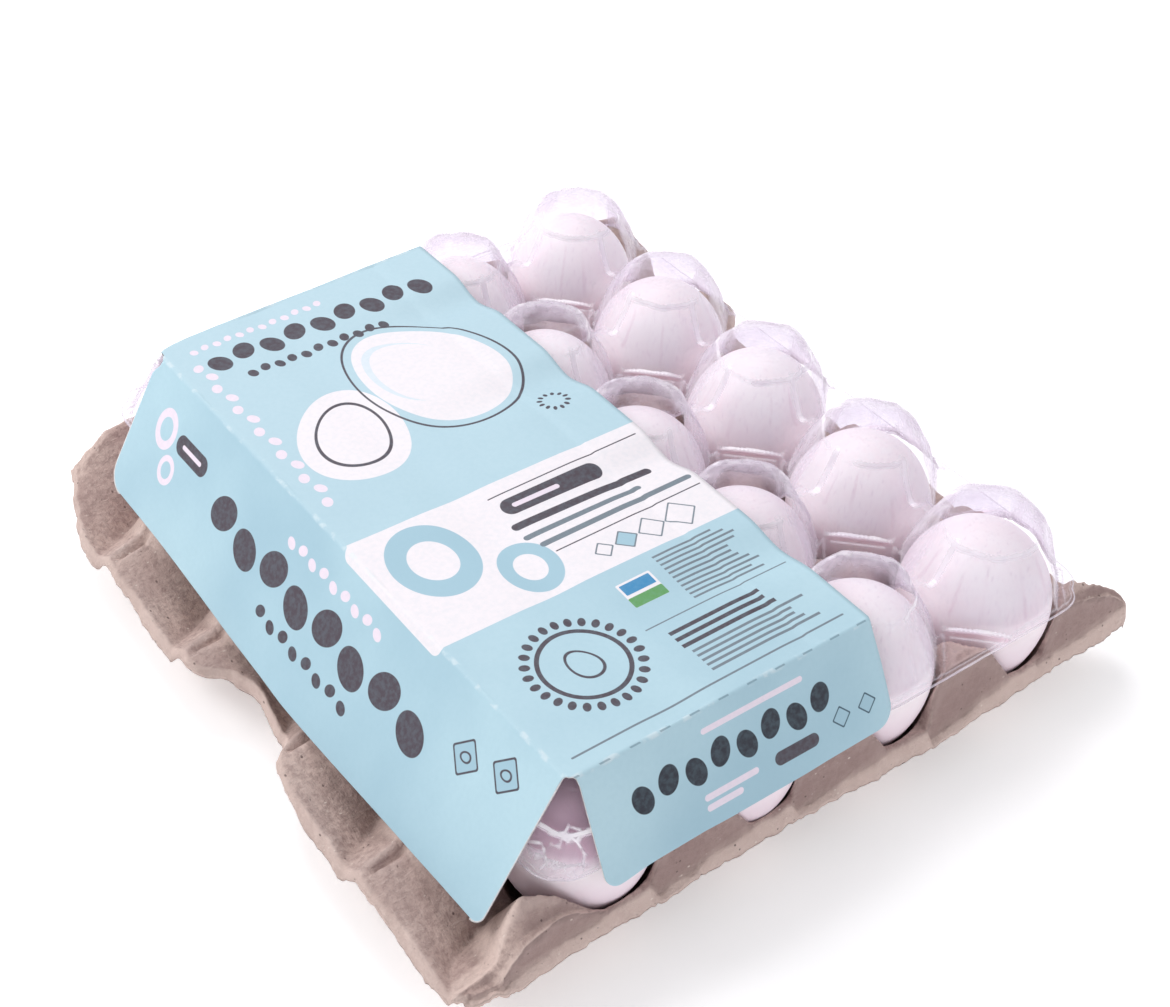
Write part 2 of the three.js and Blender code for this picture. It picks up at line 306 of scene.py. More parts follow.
def egg_material():
    """A matt white shell with a faint pink cast, fine pores and cloudy spots, and painted shade on its lower part."""
    m = Nodes("eggshell")
    co = m.coords()
    cloud = m.noise(co, 60, 3)
    fine = m.noise(co, 900, 3, 0.6)
    color = m.mix(m.ramp(cloud, 0.3, 0.72), srgb(252, 242, 244), srgb(254, 249, 250))
    color = m.mix(m.ramp(fine, 0.45, 0.75, 0.0, 0.15), color, srgb(238, 224, 230))
    # painted shade: the lower part of each egg is tinted a darker mauve, its edge made cloudy
    place = m.new("SeparateXYZ")
    m.put(place.inputs[0], co)
    low = m.ramp(m.math("ADD", place.outputs[2], m.math("MULTIPLY", cloud, 0.004)), 0.050, 0.028, 0.0, 0.75)
    color = m.mix(low, color, srgb(229, 209, 221))
    pores = m.voronoi(m.mapped(co, (1400, 1400, 1400)), 1.0)
    height = m.math("ADD", m.math("MULTIPLY", fine, 0.7), m.ramp(pores.outputs["Distance"], 0.0, 0.3))
    normal = m.bump(height, 0.03, 0.00025)
    rough = m.ramp(cloud, 0.3, 0.7, 0.42, 0.52)
    return m.surface(m.principled(color, rough, normal, Specular_IOR_Level=0.35, Subsurface_Weight=0.06, Subsurface_Radius=(0.004, 0.002, 0.002), Subsurface_Scale=1.0))


def sheet_material():
    """Clear thermoformed sheet with a faint lilac cast: it mirrors where it turns away, and bright lines of painted
    highlight run along its creases.
    """
    m = Nodes("clear_sheet")
    co = m.coords()
    haze = m.noise(m.mapped(co, (90, 90, 25)), 1.0, 3)
    streak = m.noise(m.mapped(co, (900, 900, 60)), 1.0, 2)
    patch = m.noise(co, 55, 2)
    crumple = m.noise(co, 230, 2, 0.4)
    height = m.math("ADD", m.math("MULTIPLY", haze, 0.8), m.math("MULTIPLY", streak, 0.25))
    height = m.math("ADD", height, m.math("MULTIPLY", crumple, 0.3))
    normal = m.bump(height, 0.3, 0.0008)
    turn = m.new("LayerWeight")
    turn.inputs["Blend"].default_value = 0.3
    m.put(turn.inputs["Normal"], normal)
    facing = turn.outputs["Facing"]

    def line(name, at, width, soft):
        far = m.math("ABSOLUTE", m.math("SUBTRACT", m.attr(name), at))
        return m.ramp(far, width + soft, width)

    def both(a, b):
        return m.math("MULTIPLY", a, b)

    pleat = m.attr("pleat")
    corner = m.attr("corner")
    clear = m.mix(m.ramp(facing, 0.25, 0.46), srgb(252, 251, 253), srgb(246, 242, 247))
    clear = m.mix(m.ramp(facing, 0.5, 0.95), clear, srgb(238, 232, 244))
    clear = m.mix(m.ramp(streak, 0.5, 0.8, 0.0, 0.3), clear, srgb(245, 239, 246))
    clear = m.mix(m.math("MULTIPLY", m.ramp(pleat, 0.4, 0.9, 0.0, 0.4), m.ramp(haze, 0.4, 0.6)), clear, srgb(243, 235, 241))
    # painted shade under each foot's bead, and the hazier upper far walls
    clear = m.mix(both(line("bar", 0.026, 0.008, 0.016), corner), clear, srgb(251, 243, 247))
    haze_wall = both(m.attr("far"), m.ramp(m.noise(m.mapped(co, (260, 260, 45)), 1.0, 3), 0.3, 0.65, 0.55, 1.0))
    clear = m.mix(haze_wall, clear, srgb(247, 245, 249))
    # painted shade: the sheet round the front-left corner dome is tinted darker
    clear = m.mix(m.attr("shade"), clear, srgb(246, 239, 244))
    film = m.new("BsdfTransparent")
    m.put(film.inputs["Color"], clear)
    gloss = m.principled(m.mix(m.ramp(haze, 0.3, 0.7), srgb(246, 239, 248), srgb(253, 249, 253)), m.ramp(haze, 0.3, 0.7, 0.10, 0.20), normal, Specular_IOR_Level=0.7)
    # painted highlights: bright lines round the domes' tops, along the ridges, on the feet's beads and on the flange's
    # rolled edge
    broken = m.ramp(patch, 0.44, 0.56)
    ring = both(line("ring", 0.279, 0.003, 0.007), broken)
    ridge = m.math("MAXIMUM", both(line("ridge_x", 0.0, 0.012, 0.016), m.attr("on_x")), both(line("ridge_y", 0.0, 0.012, 0.016), m.attr("on_y")))
    bar = both(m.math("MAXIMUM", line("bar", 0.0, 0.007, 0.012), both(line("bar", 0.056, 0.003, 0.010), 0.28)), corner)
    rim = both(m.math("MAXIMUM", line("edge", 23.25, 0.12, 0.3), both(line("edge", 21.9, 0.08, 0.3), 0.6)), m.ramp(m.attr("lift"), 0.0, 1.0, 1.0, 0.15))
    # painted highlights on crumpled places, where short bright strokes cross
    cells = m.voronoi(m.mapped(co, (150, 150, 150), (0.2, 0.5, 0.3)), 1.0, "DISTANCE_TO_EDGE")
    painted_glints = both(m.ramp(cells.outputs["Distance"], 0.075, 0.02), m.ramp(crumple, 0.40, 0.52))
    painted_glints = m.math("MAXIMUM", both(painted_glints, m.attr("slack")), m.ramp(m.math("ABSOLUTE", m.attr("stroke")), 0.8, 0.35))
    painted_highlights = m.math("MAXIMUM", both(ring, 0.5), both(ridge, 0.5))
    painted_highlights = m.math("MAXIMUM", painted_highlights, both(bar, 0.8))
    painted_highlights = m.math("MAXIMUM", painted_highlights, both(rim, 0.32))
    painted_highlights = m.math("MAXIMUM", painted_highlights, both(painted_glints, 0.95))
    fac = m.math("ADD", m.ramp(facing, 0.22, 0.42, 0.0, 0.26), m.ramp(facing, 0.42, 0.95, 0.0, 0.22))
    fac = m.math("MULTIPLY", fac, m.ramp(m.noise(m.mapped(co, (420, 420, 30)), 1.0, 2), 0.3, 0.7, 0.7, 1.3))
    # a faint painted highlight along the sheet's sharp creases
    fac = m.math("ADD", fac, m.math("MULTIPLY", m.attr("crease"), 0.05))
    fac = m.math("ADD", fac, m.ramp(streak, 0.62, 0.8, 0.0, 0.04))
    fac = m.math("ADD", fac, both(haze_wall, 0.14))
    fac = m.math("ADD", fac, painted_highlights, clamp=True)
    mixed = m.new("MixShader")
    m.put(mixed.inputs[0], fac)
    m.nt.links.new(film.outputs[0], mixed.inputs[1])
    m.nt.links.new(gloss, mixed.inputs[2])
    return m.surface(mixed.outputs[0])


def board_material():
    """The label's bare back and cut edges: grey-white board."""
    m = Nodes("board")
    co = m.coords()
    fine = m.noise(m.mapped(co, (900, 250, 900)), 1.0, 3)
    color = m.mix(m.ramp(fine, 0.3, 0.7), srgb(214, 210, 208), srgb(236, 233, 232))
    return m.surface(m.principled(color, 0.8, m.bump(fine, 0.2, 0.0002), Specular_IOR_Level=0.3))


# ------------------------------------------------------------- the print
def shape_group(name, build, params):
    """A node group that gives a mask of one simple printed shape at U, V in millimetres."""
    g = bpy.data.node_groups.new(name, "ShaderNodeTree")
    for p in ["U", "V", *params]:
        g.interface.new_socket(p, in_out="INPUT", socket_type="NodeSocketFloat")
    g.interface.new_socket("Mask", in_out="OUTPUT", socket_type="NodeSocketFloat")
    gin, gout = g.nodes.new("NodeGroupInput"), g.nodes.new("NodeGroupOutput")

    def math_(op, a, b=None, c=None, clamp=False):
        n = g.nodes.new("ShaderNodeMath")
        n.operation, n.use_clamp = op, clamp
        for k, v in enumerate((a, b, c)):
            if isinstance(v, bpy.types.NodeSocket):
                g.links.new(v, n.inputs[k])
            elif v is not None:
                n.inputs[k].default_value = v
        return n.outputs[0]

    d = build(math_, lambda k: gin.outputs[k])
    g.links.new(math_("SUBTRACT", 0.5, math_("MULTIPLY", d, 6.0), clamp=True), gout.inputs["Mask"])
    return g


def _turned(f, g):
    du, dv = f("SUBTRACT", g("U"), g("Cu")), f("SUBTRACT", g("V"), g("Cv"))
    c, s = f("COSINE", g("Turn")), f("SINE", g("Turn"))
    a = f("ADD", f("MULTIPLY", du, c), f("MULTIPLY", dv, s))
    b = f("SUBTRACT", f("MULTIPLY", dv, c), f("MULTIPLY", du, s))
    return a, b


def _bar(f, g):
    a, b = _turned(f, g)
    qa = f("SUBTRACT", f("ABSOLUTE", a), f("SUBTRACT", g("Hu"), g("R")))
    qb = f("SUBTRACT", f("ABSOLUTE", b), f("SUBTRACT", g("Hv"), g("R")))
    ma, mb = f("MAXIMUM", qa, 0.0), f("MAXIMUM", qb, 0.0)
    far = f("SQRT", f("ADD", f("MULTIPLY", ma, ma), f("MULTIPLY", mb, mb)))
    return f("SUBTRACT", f("ADD", far, f("MINIMUM", f("MAXIMUM", qa, qb), 0.0)), g("R"))


def _oval(f, g):
    a, b = _turned(f, g)
    # one end of the oval is a little narrower, as an egg's is
    wide = f("ADD", 1.0, f("MULTIPLY", g("Egg"), f("DIVIDE", b, g("Hv"))))
    qa, qb = f("DIVIDE", f("MULTIPLY", a, wide), g("Hu")), f("DIVIDE", b, g("Hv"))
    k = f("SQRT", f("ADD", f("MULTIPLY", qa, qa), f("MULTIPLY", qb, qb)))
    d = f("MULTIPLY", f("SUBTRACT", k, 1.0), f("MINIMUM", g("Hu"), g("Hv")))
    ring = f("SUBTRACT", f("ABSOLUTE", d), f("MULTIPLY", g("Line"), 0.5))
    is_ring = f("GREATER_THAN", g("Line"), 0.001)
    return f("ADD", f("MULTIPLY", ring, is_ring), f("MULTIPLY", d, f("SUBTRACT", 1.0, is_ring)))


def _row(f, g):
    """Ovals in a row along V, every Step millimetres, N of them."""
    k = f("MINIMUM", f("MAXIMUM", f("ROUND", f("DIVIDE", f("SUBTRACT", g("V"), g("Cv")), g("Step"))), 0.0), f("SUBTRACT", g("N"), 1.0))
    b = f("SUBTRACT", f("SUBTRACT", g("V"), g("Cv")), f("MULTIPLY", k, g("Step")))
    # every second one leans the other way and is a little smaller
    odd = f("SUBTRACT", f("MULTIPLY", f("MODULO", k, 2.0), 2.0), 1.0)
    a = f("SUBTRACT", f("SUBTRACT", g("U"), g("Cu")), f("MULTIPLY", odd, g("Sway")))
    t = f("MULTIPLY", odd, g("Turn"))
    c, s = f("COSINE", t), f("SINE", t)
    ra = f("ADD", f("MULTIPLY", a, c), f("MULTIPLY", b, s))
    rb = f("SUBTRACT", f("MULTIPLY", b, c), f("MULTIPLY", a, s))
    qa, qb = f("DIVIDE", ra, g("Hu")), f("DIVIDE", rb, g("Hv"))
    d = f("MULTIPLY", f("SUBTRACT", f("SQRT", f("ADD", f("MULTIPLY", qa, qa), f("MULTIPLY", qb, qb))), 1.0), f("MINIMUM", g("Hu"), g("Hv")))
    ring = f("SUBTRACT", f("ABSOLUTE", d), f("MULTIPLY", g("Line"), 0.5))
    is_ring = f("GREATER_THAN", g("Line"), 0.001)
    return f("ADD", f("MULTIPLY", ring, is_ring), f("MULTIPLY", d, f("SUBTRACT", 1.0, is_ring)))


def _rules(f, g):
    """A block of fine rules along U, every Step millimetres in V, of uneven length."""
    k = f("ROUND", f("DIVIDE", f("SUBTRACT", g("V"), g("Cv")), g("Step")))
    a = f("ABSOLUTE", f("SUBTRACT", f("SUBTRACT", g("V"), g("Cv")), f("MULTIPLY", k, g("Step"))))
    wild = f("FRACT", f("MULTIPLY", f("SINE", f("MULTIPLY", f("ADD", k, 7.3), 12.9898)), 43.758))
    end = f("ADD", g("Hu"), f("MULTIPLY", wild, f("MULTIPLY", g("Hu"), -0.5)))
    b = f("SUBTRACT", g("U"), g("Cu"))
    right = f("SUBTRACT", b, end)
    left = f("SUBTRACT", f("MULTIPLY", b, -1.0), g("Hu"))
    side = f("SUBTRACT", f("ABSOLUTE", k), f("ADD", g("N"), 0.5))
    return f("MAXIMUM", f("MAXIMUM", f("SUBTRACT", a, g("Line")), side), f("MAXIMUM", left, right))


def _beads(f, g):
    """Beads round a circle: N of them, Hu in radius, on a circle of radius R."""
    du, dv = f("SUBTRACT", g("U"), g("Cu")), f("SUBTRACT", g("V"), g("Cv"))
    ang = f("ARCTAN2", dv, du)
    step = f("DIVIDE", 2 * math.pi, g("N"))
    k = f("MULTIPLY", f("ROUND", f("DIVIDE", ang, step)), step)
    ca, sa = f("COSINE", k), f("SINE", k)
    along = f("SUBTRACT", f("ADD", f("MULTIPLY", du, ca), f("MULTIPLY", dv, sa)), g("R"))
    across = f("SUBTRACT", f("MULTIPLY", dv, ca), f("MULTIPLY", du, sa))
    qa, qb = f("DIVIDE", along, g("Hu")), f("DIVIDE", across, g("Hv"))
    return f("MULTIPLY", f("SUBTRACT", f("SQRT", f("ADD", f("MULTIPLY", qa, qa), f("MULTIPLY", qb, qb))), 1.0), g("Hv"))


INK_BLUE = srgb(164, 198, 213)
INK_WHITE = srgb(243, 237, 241)
INK_DARK = srgb(76, 66, 76)
INK_GREY = srgb(118, 128, 138)
INK_PINK = srgb(240, 226, 238)
INK_GREEN = srgb(96, 158, 92)
INK_DEEP = srgb(60, 140, 190)

# the label, laid flat: U runs across the pack and V along it
U0, U1 = -1.75 * P, 0.31 * P
V0, V1 = -2.235 * P, 2.19 * P


def print_material():
    """The label's printed face: pale blue with a white band, and plain shapes for its print."""
    m = Nodes("printed_board")
    groups = {
        "bar": shape_group("print_bar", _bar, ["Cu", "Cv", "Hu", "Hv", "R", "Turn"]),
        "oval": shape_group("print_oval", _oval, ["Cu", "Cv", "Hu", "Hv", "Egg", "Turn", "Line"]),
        "row": shape_group("print_row", _row, ["Cu", "Cv", "Hu", "Hv", "Step", "N", "Sway", "Turn", "Line"]),
        "rules": shape_group("print_rules", _rules, ["Cu", "Cv", "Hu", "Step", "N", "Line"]),
        "beads": shape_group("print_beads", _beads, ["Cu", "Cv", "Hu", "Hv", "R", "N"]),
    }
    uv = m.new("UVMap", uv_map="flat")
    sep = m.new("SeparateXYZ")
    m.nt.links.new(uv.outputs[0], sep.inputs[0])
    U = m.math("MULTIPLY", sep.outputs[0], 1000.0)
    V = m.math("MULTIPLY", sep.outputs[1], 1000.0)
    co = m.coords()
    state = {"color": None}

    def draw(kind, ink, along_u=False, **kw):
        n = m.nt.nodes.new("ShaderNodeGroup")
        n.node_tree = groups[kind]
        m.nt.links.new(V if along_u else U, n.inputs["U"])
        m.nt.links.new(U if along_u else V, n.inputs["V"])
        for k, v in kw.items():
            n.inputs[k].default_value = v
        state["color"] = m.mix(n.outputs[0], state["color"], ink)

    grain = m.noise(co, 700, 3)
    wash = m.noise(co, 14, 3)
    state["color"] = m.mix(m.ramp(wash, 0.3, 0.7), INK_BLUE, srgb(187, 218, 229))
    # painted light: the top panel's blue is paler, more so towards the back
    on_top = m.math("MULTIPLY", m.ramp(U, U0 - 1, U0 + 1), m.math("MULTIPLY", m.ramp(V, V0 - 1, V0 + 1), m.ramp(V, V1 + 1, V1 - 1)))
    painted_top_light = m.math("MULTIPLY", on_top, m.ramp(V, -110.0, 80.0, 0.25, 0.9))
    state["color"] = m.mix(painted_top_light, state["color"], srgb(188, 215, 226))
    # the white band across the top panel
    draw("bar", INK_WHITE, Cu=(U0 + U1) / 2 + 2, Cv=-30.0, Hu=(U1 - U0) / 2 + 4.5, Hv=23.2, R=2.5, Turn=-0.012)
    # the back field: a group of large white ovals, fine arcs, and a row of dark ovals
    draw("oval", INK_WHITE, Cu=-20.0, Cv=47.0, Hu=20.0, Hv=26.0, Egg=0.16, Turn=0.35)
    draw("oval", INK_WHITE, Cu=-55.0, Cv=34.0, Hu=16.0, Hv=21.0, Egg=0.16, Turn=-0.4)
    draw("oval", srgb(222, 232, 240), Cu=-24.0, Cv=50.0, Hu=13.0, Hv=17.0, Egg=0.16, Turn=0.35, Line=0.0)
    draw("oval", INK_WHITE, Cu=-22.5, Cv=48.5, Hu=12.6, Hv=16.6, Egg=0.16, Turn=0.35, Line=0.0)
    draw("oval", INK_DARK, Cu=-55.0, Cv=34.0, Hu=10.5, Hv=14.5, Egg=0.16, Turn=-0.4, Line=0.9)
    draw("oval", INK_DARK, Cu=-20.0, Cv=47.0, Hu=23.0, Hv=29.0, Egg=0.16, Turn=0.35, Line=0.7)
    draw("row", INK_PINK, along_u=True, Cu=95.5, Cv=-74.0, Hu=1.5, Hv=1.2, Step=4.0, N=12.0, Sway=0.3, Turn=0.4)
    draw("row", INK_DARK, along_u=True, Cu=86.0, Cv=-70.0, Hu=4.3, Hv=3.4, Step=9.0, N=9.0, Sway=1.0, Turn=0.4)
    draw("row", INK_DARK, along_u=True, Cu=75.4, Cv=-64.0, Hu=1.8, Hv=1.5, Step=4.6, N=11.0, Sway=0.4, Turn=0.4)
    draw("row", INK_PINK, Cu=-76.0, Cv=12.0, Hu=1.6, Hv=2.1, Step=6.2, N=13.0, Sway=0.8, Turn=0.4)
    draw("beads", INK_DARK, Cu=2.0, Cv=14.0, Hu=0.9, Hv=0.6, R=4.2, N=12.0)
    # the white band: pale rings, a dark pill, rules and small outlined squares
    draw("oval", INK_BLUE, Cu=-66.0, Cv=-24.0, Hu=9.5, Hv=11.5, Egg=0.0, Turn=0.0, Line=5.6)
    draw("oval", INK_BLUE, Cu=-46.0, Cv=-40.5, Hu=6.4, Hv=7.8, Egg=0.0, Turn=0.0, Line=4.0)
    draw("bar", INK_DARK, Cu=-22.0, Cv=-17.5, Hu=17.0, Hv=3.1, R=3.1, Turn=0.0)
    draw("bar", INK_PINK, Cu=-27.5, Cv=-17.5, Hu=8.0, Hv=0.8, R=0.8, Turn=0.0)
    draw("bar", INK_DARK, Cu=-17.0, Cv=-25.2, Hu=24.0, Hv=1.4, R=1.4, Turn=0.0)
    draw("bar", INK_GREY, Cu=-21.0, Cv=-30.6, Hu=20.0, Hv=1.0, R=1.0, Turn=0.0)
    draw("bar", INK_GREY, Cu=-13.0, Cv=-35.4, Hu=26.0, Hv=1.0, R=1.0, Turn=0.0)
    draw("bar", INK_DARK, Cu=-14.0, Cv=-12.0, Hu=26.0, Hv=0.22, R=0.2, Turn=0.0)
    draw("bar", INK_DARK, Cu=-12.0, Cv=-39.6, Hu=25.0, Hv=0.22, R=0.2, Turn=0.0)
    for k, (u, size) in enumerate(((-26.0, 2.3), (-18.5, 2.8), (-9.8, 3.3), (0.2, 3.9))):
        draw("bar", INK_GREY, Cu=u, Cv=-46.4, Hu=size, Hv=size, R=0.4, Turn=math.pi / 4)
        draw("bar", INK_WHITE if k != 1 else INK_BLUE, Cu=u, Cv=-46.4, Hu=size - 0.45, Hv=size - 0.45, R=0.3, Turn=math.pi / 4)
    # the front field: a beaded ring, small swatches and blocks of fine rules
    draw("beads", INK_DARK, Cu=-56.0, Cv=-77.0, Hu=1.5, Hv=1.1, R=15.2, N=26.0)
    draw("oval", INK_DARK, Cu=-56.0, Cv=-77.0, Hu=12.0, Hv=12.0, Egg=0.0, Turn=0.0, Line=1.3)
    draw("oval", INK_DARK, Cu=-56.0, Cv=-77.0, Hu=4.2, Hv=5.4, Egg=0.14, Turn=0.3, Line=0.7)
    draw("bar", INK_WHITE, Cu=-27.0, Cv=-64.0, Hu=5.6, Hv=4.6, R=0.4, Turn=0.0)
    draw("bar", INK_DEEP, Cu=-27.0, Cv=-62.0, Hu=4.9, Hv=1.9, R=0.3, Turn=0.0)
    draw("bar", INK_GREEN, Cu=-27.0, Cv=-66.8, Hu=5.6, Hv=1.8, R=0.4, Turn=0.0)
    draw("rules", INK_GREY, Cu=-4.5, Cv=-65.0, Hu=13.0, Step=1.75, N=5.0, Line=0.36)
    draw("rules", INK_GREY, Cu=-11.0, Cv=-93.2, Hu=20.0, Step=1.9, N=2.0, Line=0.42)
    draw("rules", INK_DARK, Cu=-13.0, Cv=-84.0, Hu=19.0, Step=2.7, N=1.0, Line=0.66)
    draw("bar", INK_GREY, Cu=-12.0, Cv=-76.6, Hu=24.0, Hv=0.22, R=0.2, Turn=0.0)
    draw("bar", INK_GREY, Cu=-34.0, Cv=-100.8, Hu=44.0, Hv=0.3, R=0.3, Turn=0.0)
    # the left flap: a long row of dark ovals, pale dots, a pill and two small squares
    draw("row", INK_DARK, Cu=-105.0, Cv=-56.0, Hu=5.0, Hv=6.4, Step=14.6, N=8.0, Sway=1.5, Turn=0.45)
    draw("row", INK_PINK, Cu=-93.2, Cv=-30.0, Hu=1.5, Hv=2.0, Step=5.6, N=9.0, Sway=0.5, Turn=0.4)
    draw("row", INK_DARK, Cu=-116.2, Cv=-30.0, Hu=1.7, Hv=2.2, Step=6.4, N=8.0, Sway=0.6, Turn=0.4)
    draw("oval", INK_PINK, Cu=-98.5, Cv=86.0, Hu=5.0, Hv=4.4, Egg=0.0, Turn=0.0, Line=2.4)
    draw("oval", INK_PINK, Cu=-108.5, Cv=79.0, Hu=3.6, Hv=3.4, Egg=0.0, Turn=0.0, Line=1.8)
    draw("bar", INK_DARK, Cu=-98.5, Cv=70.0, Hu=3.1, Hv=9.0, R=3.1, Turn=0.0)
    draw("bar", INK_PINK, Cu=-98.5, Cv=70.0, Hu=0.7, Hv=5.6, R=0.7, Turn=0.0)
    for v in (-76.0, -90.0):
        draw("bar", INK_DARK, Cu=-99.0 - (v + 76.0) * 0.35, Cv=v, Hu=4.1, Hv=4.1, R=0.8, Turn=math.pi / 4)
        draw("bar", INK_BLUE, Cu=-99.0 - (v + 76.0) * 0.35, Cv=v, Hu=3.55, Hv=3.55, R=0.6, Turn=math.pi / 4)
        draw("oval", INK_DARK, Cu=-99.0 - (v + 76.0) * 0.35, Cv=v, Hu=1.3, Hv=1.8, Egg=0.1, Turn=0.3, Line=0.5)
    # the front flap: dark ovals, which run across the pack here, and small marks
    draw("row", srgb(40, 44, 56), along_u=True, Cu=-119.4, Cv=-66.0, Hu=4.0, Hv=3.1, Step=8.4, N=8.0, Sway=0.9, Turn=0.35)
    draw("bar", INK_PINK, Cu=-28.0, Cv=-111.4, Hu=17.0, Hv=0.8, R=0.8, Turn=0.0)
    draw("bar", INK_DARK, Cu=-18.0, Cv=-128.6, Hu=7.5, Hv=1.9, R=1.9, Turn=0.0)
    draw("bar", INK_PINK, Cu=-40.0, Cv=-128.2, Hu=9.0, Hv=0.9, R=0.9, Turn=0.0)
    draw("bar", INK_PINK, Cu=-43.0, Cv=-131.0, Hu=6.0, Hv=0.9, R=0.9, Turn=0.0)
    for u in (-2.0, 7.0):
        draw("bar", srgb(60, 84, 100), Cu=u, Cv=-126.6, Hu=2.3, Hv=2.3, R=0.4, Turn=math.pi / 4)
        draw("bar", INK_BLUE, Cu=u, Cv=-126.6, Hu=1.9, Hv=1.9, R=0.3, Turn=math.pi / 4)

    # the cut-and-crease lines along the folds, and ink worn off along them
    def near(a, at, width):
        return m.ramp(m.math("ABSOLUTE", m.math("SUBTRACT", a, at)), width, width * 0.4)

    def dashes(v, step, fill, shift):
        s = m.math("FRACT", m.math("DIVIDE", m.math("ADD", v, 1000.0 + shift), step))
        return m.math("LESS_THAN", s, fill)

    wear_and_painted_light = m.noise(co, 260, 3)
    cut = 0.0
    wear = 0.0
    for a, at, v, shift, inner in ((U, U0 + 0.3, V, 2.0, V), (V, V0 + 0.3, U, 5.0, U), (V, V1 - 0.3, U, 5.0, U)):
        if v is U:
            line = m.math("MULTIPLY", near(a, at, 0.34), dashes(v, 9.4, 0.34, shift))
            cut = line if cut == 0.0 else m.math("MAXIMUM", cut, line)
        w = m.math("MULTIPLY", near(a, at, 1.1), m.ramp(wear_and_painted_light, 0.5, 0.68))
        wear = w if wear == 0.0 else m.math("MAXIMUM", wear, w)
    color = m.mix(m.math("MULTIPLY", wear, 0.5), state["color"], srgb(228, 238, 242))
    color = m.mix(m.math("MULTIPLY", cut, 0.55), color, srgb(96, 122, 138))
    color = m.mix(m.ramp(grain, 0.3, 0.75, 0.0, 0.10), color, srgb(150, 190, 204))
    height = m.math("SUBTRACT", m.math("MULTIPLY", grain, 0.12), cut)
    normal = m.bump(height, 0.35, 0.0003)
    rough = m.ramp(wash, 0.3, 0.7, 0.44, 0.54)
    return m.surface(m.principled(color, rough, normal, Specular_IOR_Level=0.35))


PULP = pulp_material()
SHELL = egg_material()
SHEET = sheet_material()
BOARD = board_material()
PRINT = print_material()

# ---------------------------------------------------------------- the tray
CUP = table([(0, 2.8), (9.5, 2.8), (13.0, 3.6), (16.5, 9.5), (19.5, 17), (21.7, 24.5), (23.75, 29.3), (26, 34.2), (29, 38.8), (32, 40.5), (40, 40.6)], 0.7)
END_CUP = table([(0, 2.8), (9.5, 2.8), (13.0, 3.6), (16.5, 9.5), (20, 17.5), (22.2, 26), (23.3, 34), (25.2, 40), (27, 40.6), (60, 40.6)], 0.6)


def across_side(points, blur=0.03):
    """A table read over s, which runs from the wall's foot (0) to the lip (1)."""
    return table(points, blur, -3, 3)


# the long sides' pockets: where the valley runs, and its height
VALLEY_V = across_side([(-1, 0.0), (0, 0.02), (0.35, 0.12), (0.75, 0.26), (0.95, 0.35), (1, 0.37)])
VALLEY_Z = across_side([(-1, 13.0), (0, 13.0), (0.35, 12.8), (0.74, 15.4), (0.93, 18.2), (1, 18.7)])
RIB_LEFT = across_side([(-1, 40.6), (0.02, 40.6), (0.16, 37.4), (0.33, 30.2), (0.48, 24.4), (0.6, 23.6), (0.8, 22.6), (1, 21.4)])
RIB_RIGHT = across_side([(-1, 40.6), (-0.1, 40.0), (0.1, 37.0), (0.3, 34.4), (0.55, 31.4), (0.74, 28.4), (0.92, 24.0), (1, 20.8)])
# the front corners: a valley, a crest and a ridge run out to the lip
CORNER_V = across_side([(-1, 0), (0, 0), (0.32, 0.05), (0.72, 0.155), (0.94, 0.326), (1, 0.36)])
LEFT_U = across_side([(-1, 0.43), (-0.3, 0.42), (0.0, 0.41), (0.25, 0.40), (0.5, 0.44), (1, 0.445)])
LEFT_Z = across_side([(-1, 22.8), (-0.706, 22.8), (-0.5, 25.5), (-0.335, 28.5), (-0.2, 29.5), (0, 29.8), (0.247, 28), (0.494, 23), (0.618, 20.2), (1, 20.6)], 0.02)
LEFT_CREST_U = across_side([(-1, 0.41), (-0.55, 0.40), (-0.3, 0.35), (-0.07, 0.30), (0.1, 0.27), (0.3, 0.30), (0.5, 0.40), (1, 0.42)])
LEFT_CREST_Z = across_side([(-1, 22.8), (-0.7, 22.8), (-0.55, 27.3), (-0.3, 32.5), (-0.07, 34.7), (0.1, 36.0), (0.22, 32.0), (0.35, 27.4), (0.5, 23.4), (0.7, 21.4), (1, 20.8)], 0.02)
RIGHT_CREST_U = across_side([(-1, 0.34), (-0.5, 0.33), (-0.13, 0.30), (0.04, 0.30), (0.28, 0.36), (0.62, 0.385), (1, 0.38)])
RIGHT_CREST_Z = across_side([(-1, 22.6), (-0.53, 22.6), (-0.45, 38), (-0.13, 40.6), (0.04, 39.6), (0.28, 36.8), (0.62, 30.3), (0.81, 25.1), (1, 18.9)], 0.02)
RIGHT_U = across_side([(-1, 0.43), (-0.18, 0.42), (0.15, 0.415), (1, 0.415)])
RIGHT_Z = across_side([(-1, 22.6), (-0.53, 22.6), (-0.45, 36), (-0.18, 36.3), (0.15, 34.4), (0.49, 31.4), (0.68, 27), (0.8, 24.5), (1, 18.6)], 0.02)
BACK_LEFT_Z = across_side([(-1, 40.6), (-0.6, 36), (-0.44, 33.0), (-0.2, 31.6), (0.09, 30.4), (0.34, 27.6), (0.5, 25.6), (0.75, 22.6), (1, 20.0)])
BACK_RIGHT_Z = across_side([(-1, 40.6), (0, 40.5), (0.53, 37.7), (0.66, 33.5), (0.74, 28.8), (0.9, 23.5), (1, 20)])
# the front and back: the rim's height over the place along it, from an egg's centre
RIM = table([(-0.5, 40.6), (-0.33, 39), (-0.10, 22.9), (0, 22.6), (0.2, 22.6), (0.23, 24), (0.26, 38), (0.30, 40.4), (0.5, 40.6)], 0.008, -1, 1)
CREASE_Z = table([(-0.5, 19.3), (-0.33, 20.9), (-0.10, 22.4), (0.19, 22.4), (0.25, 17.2), (0.5, 19.3)], 0.008, -1, 1)
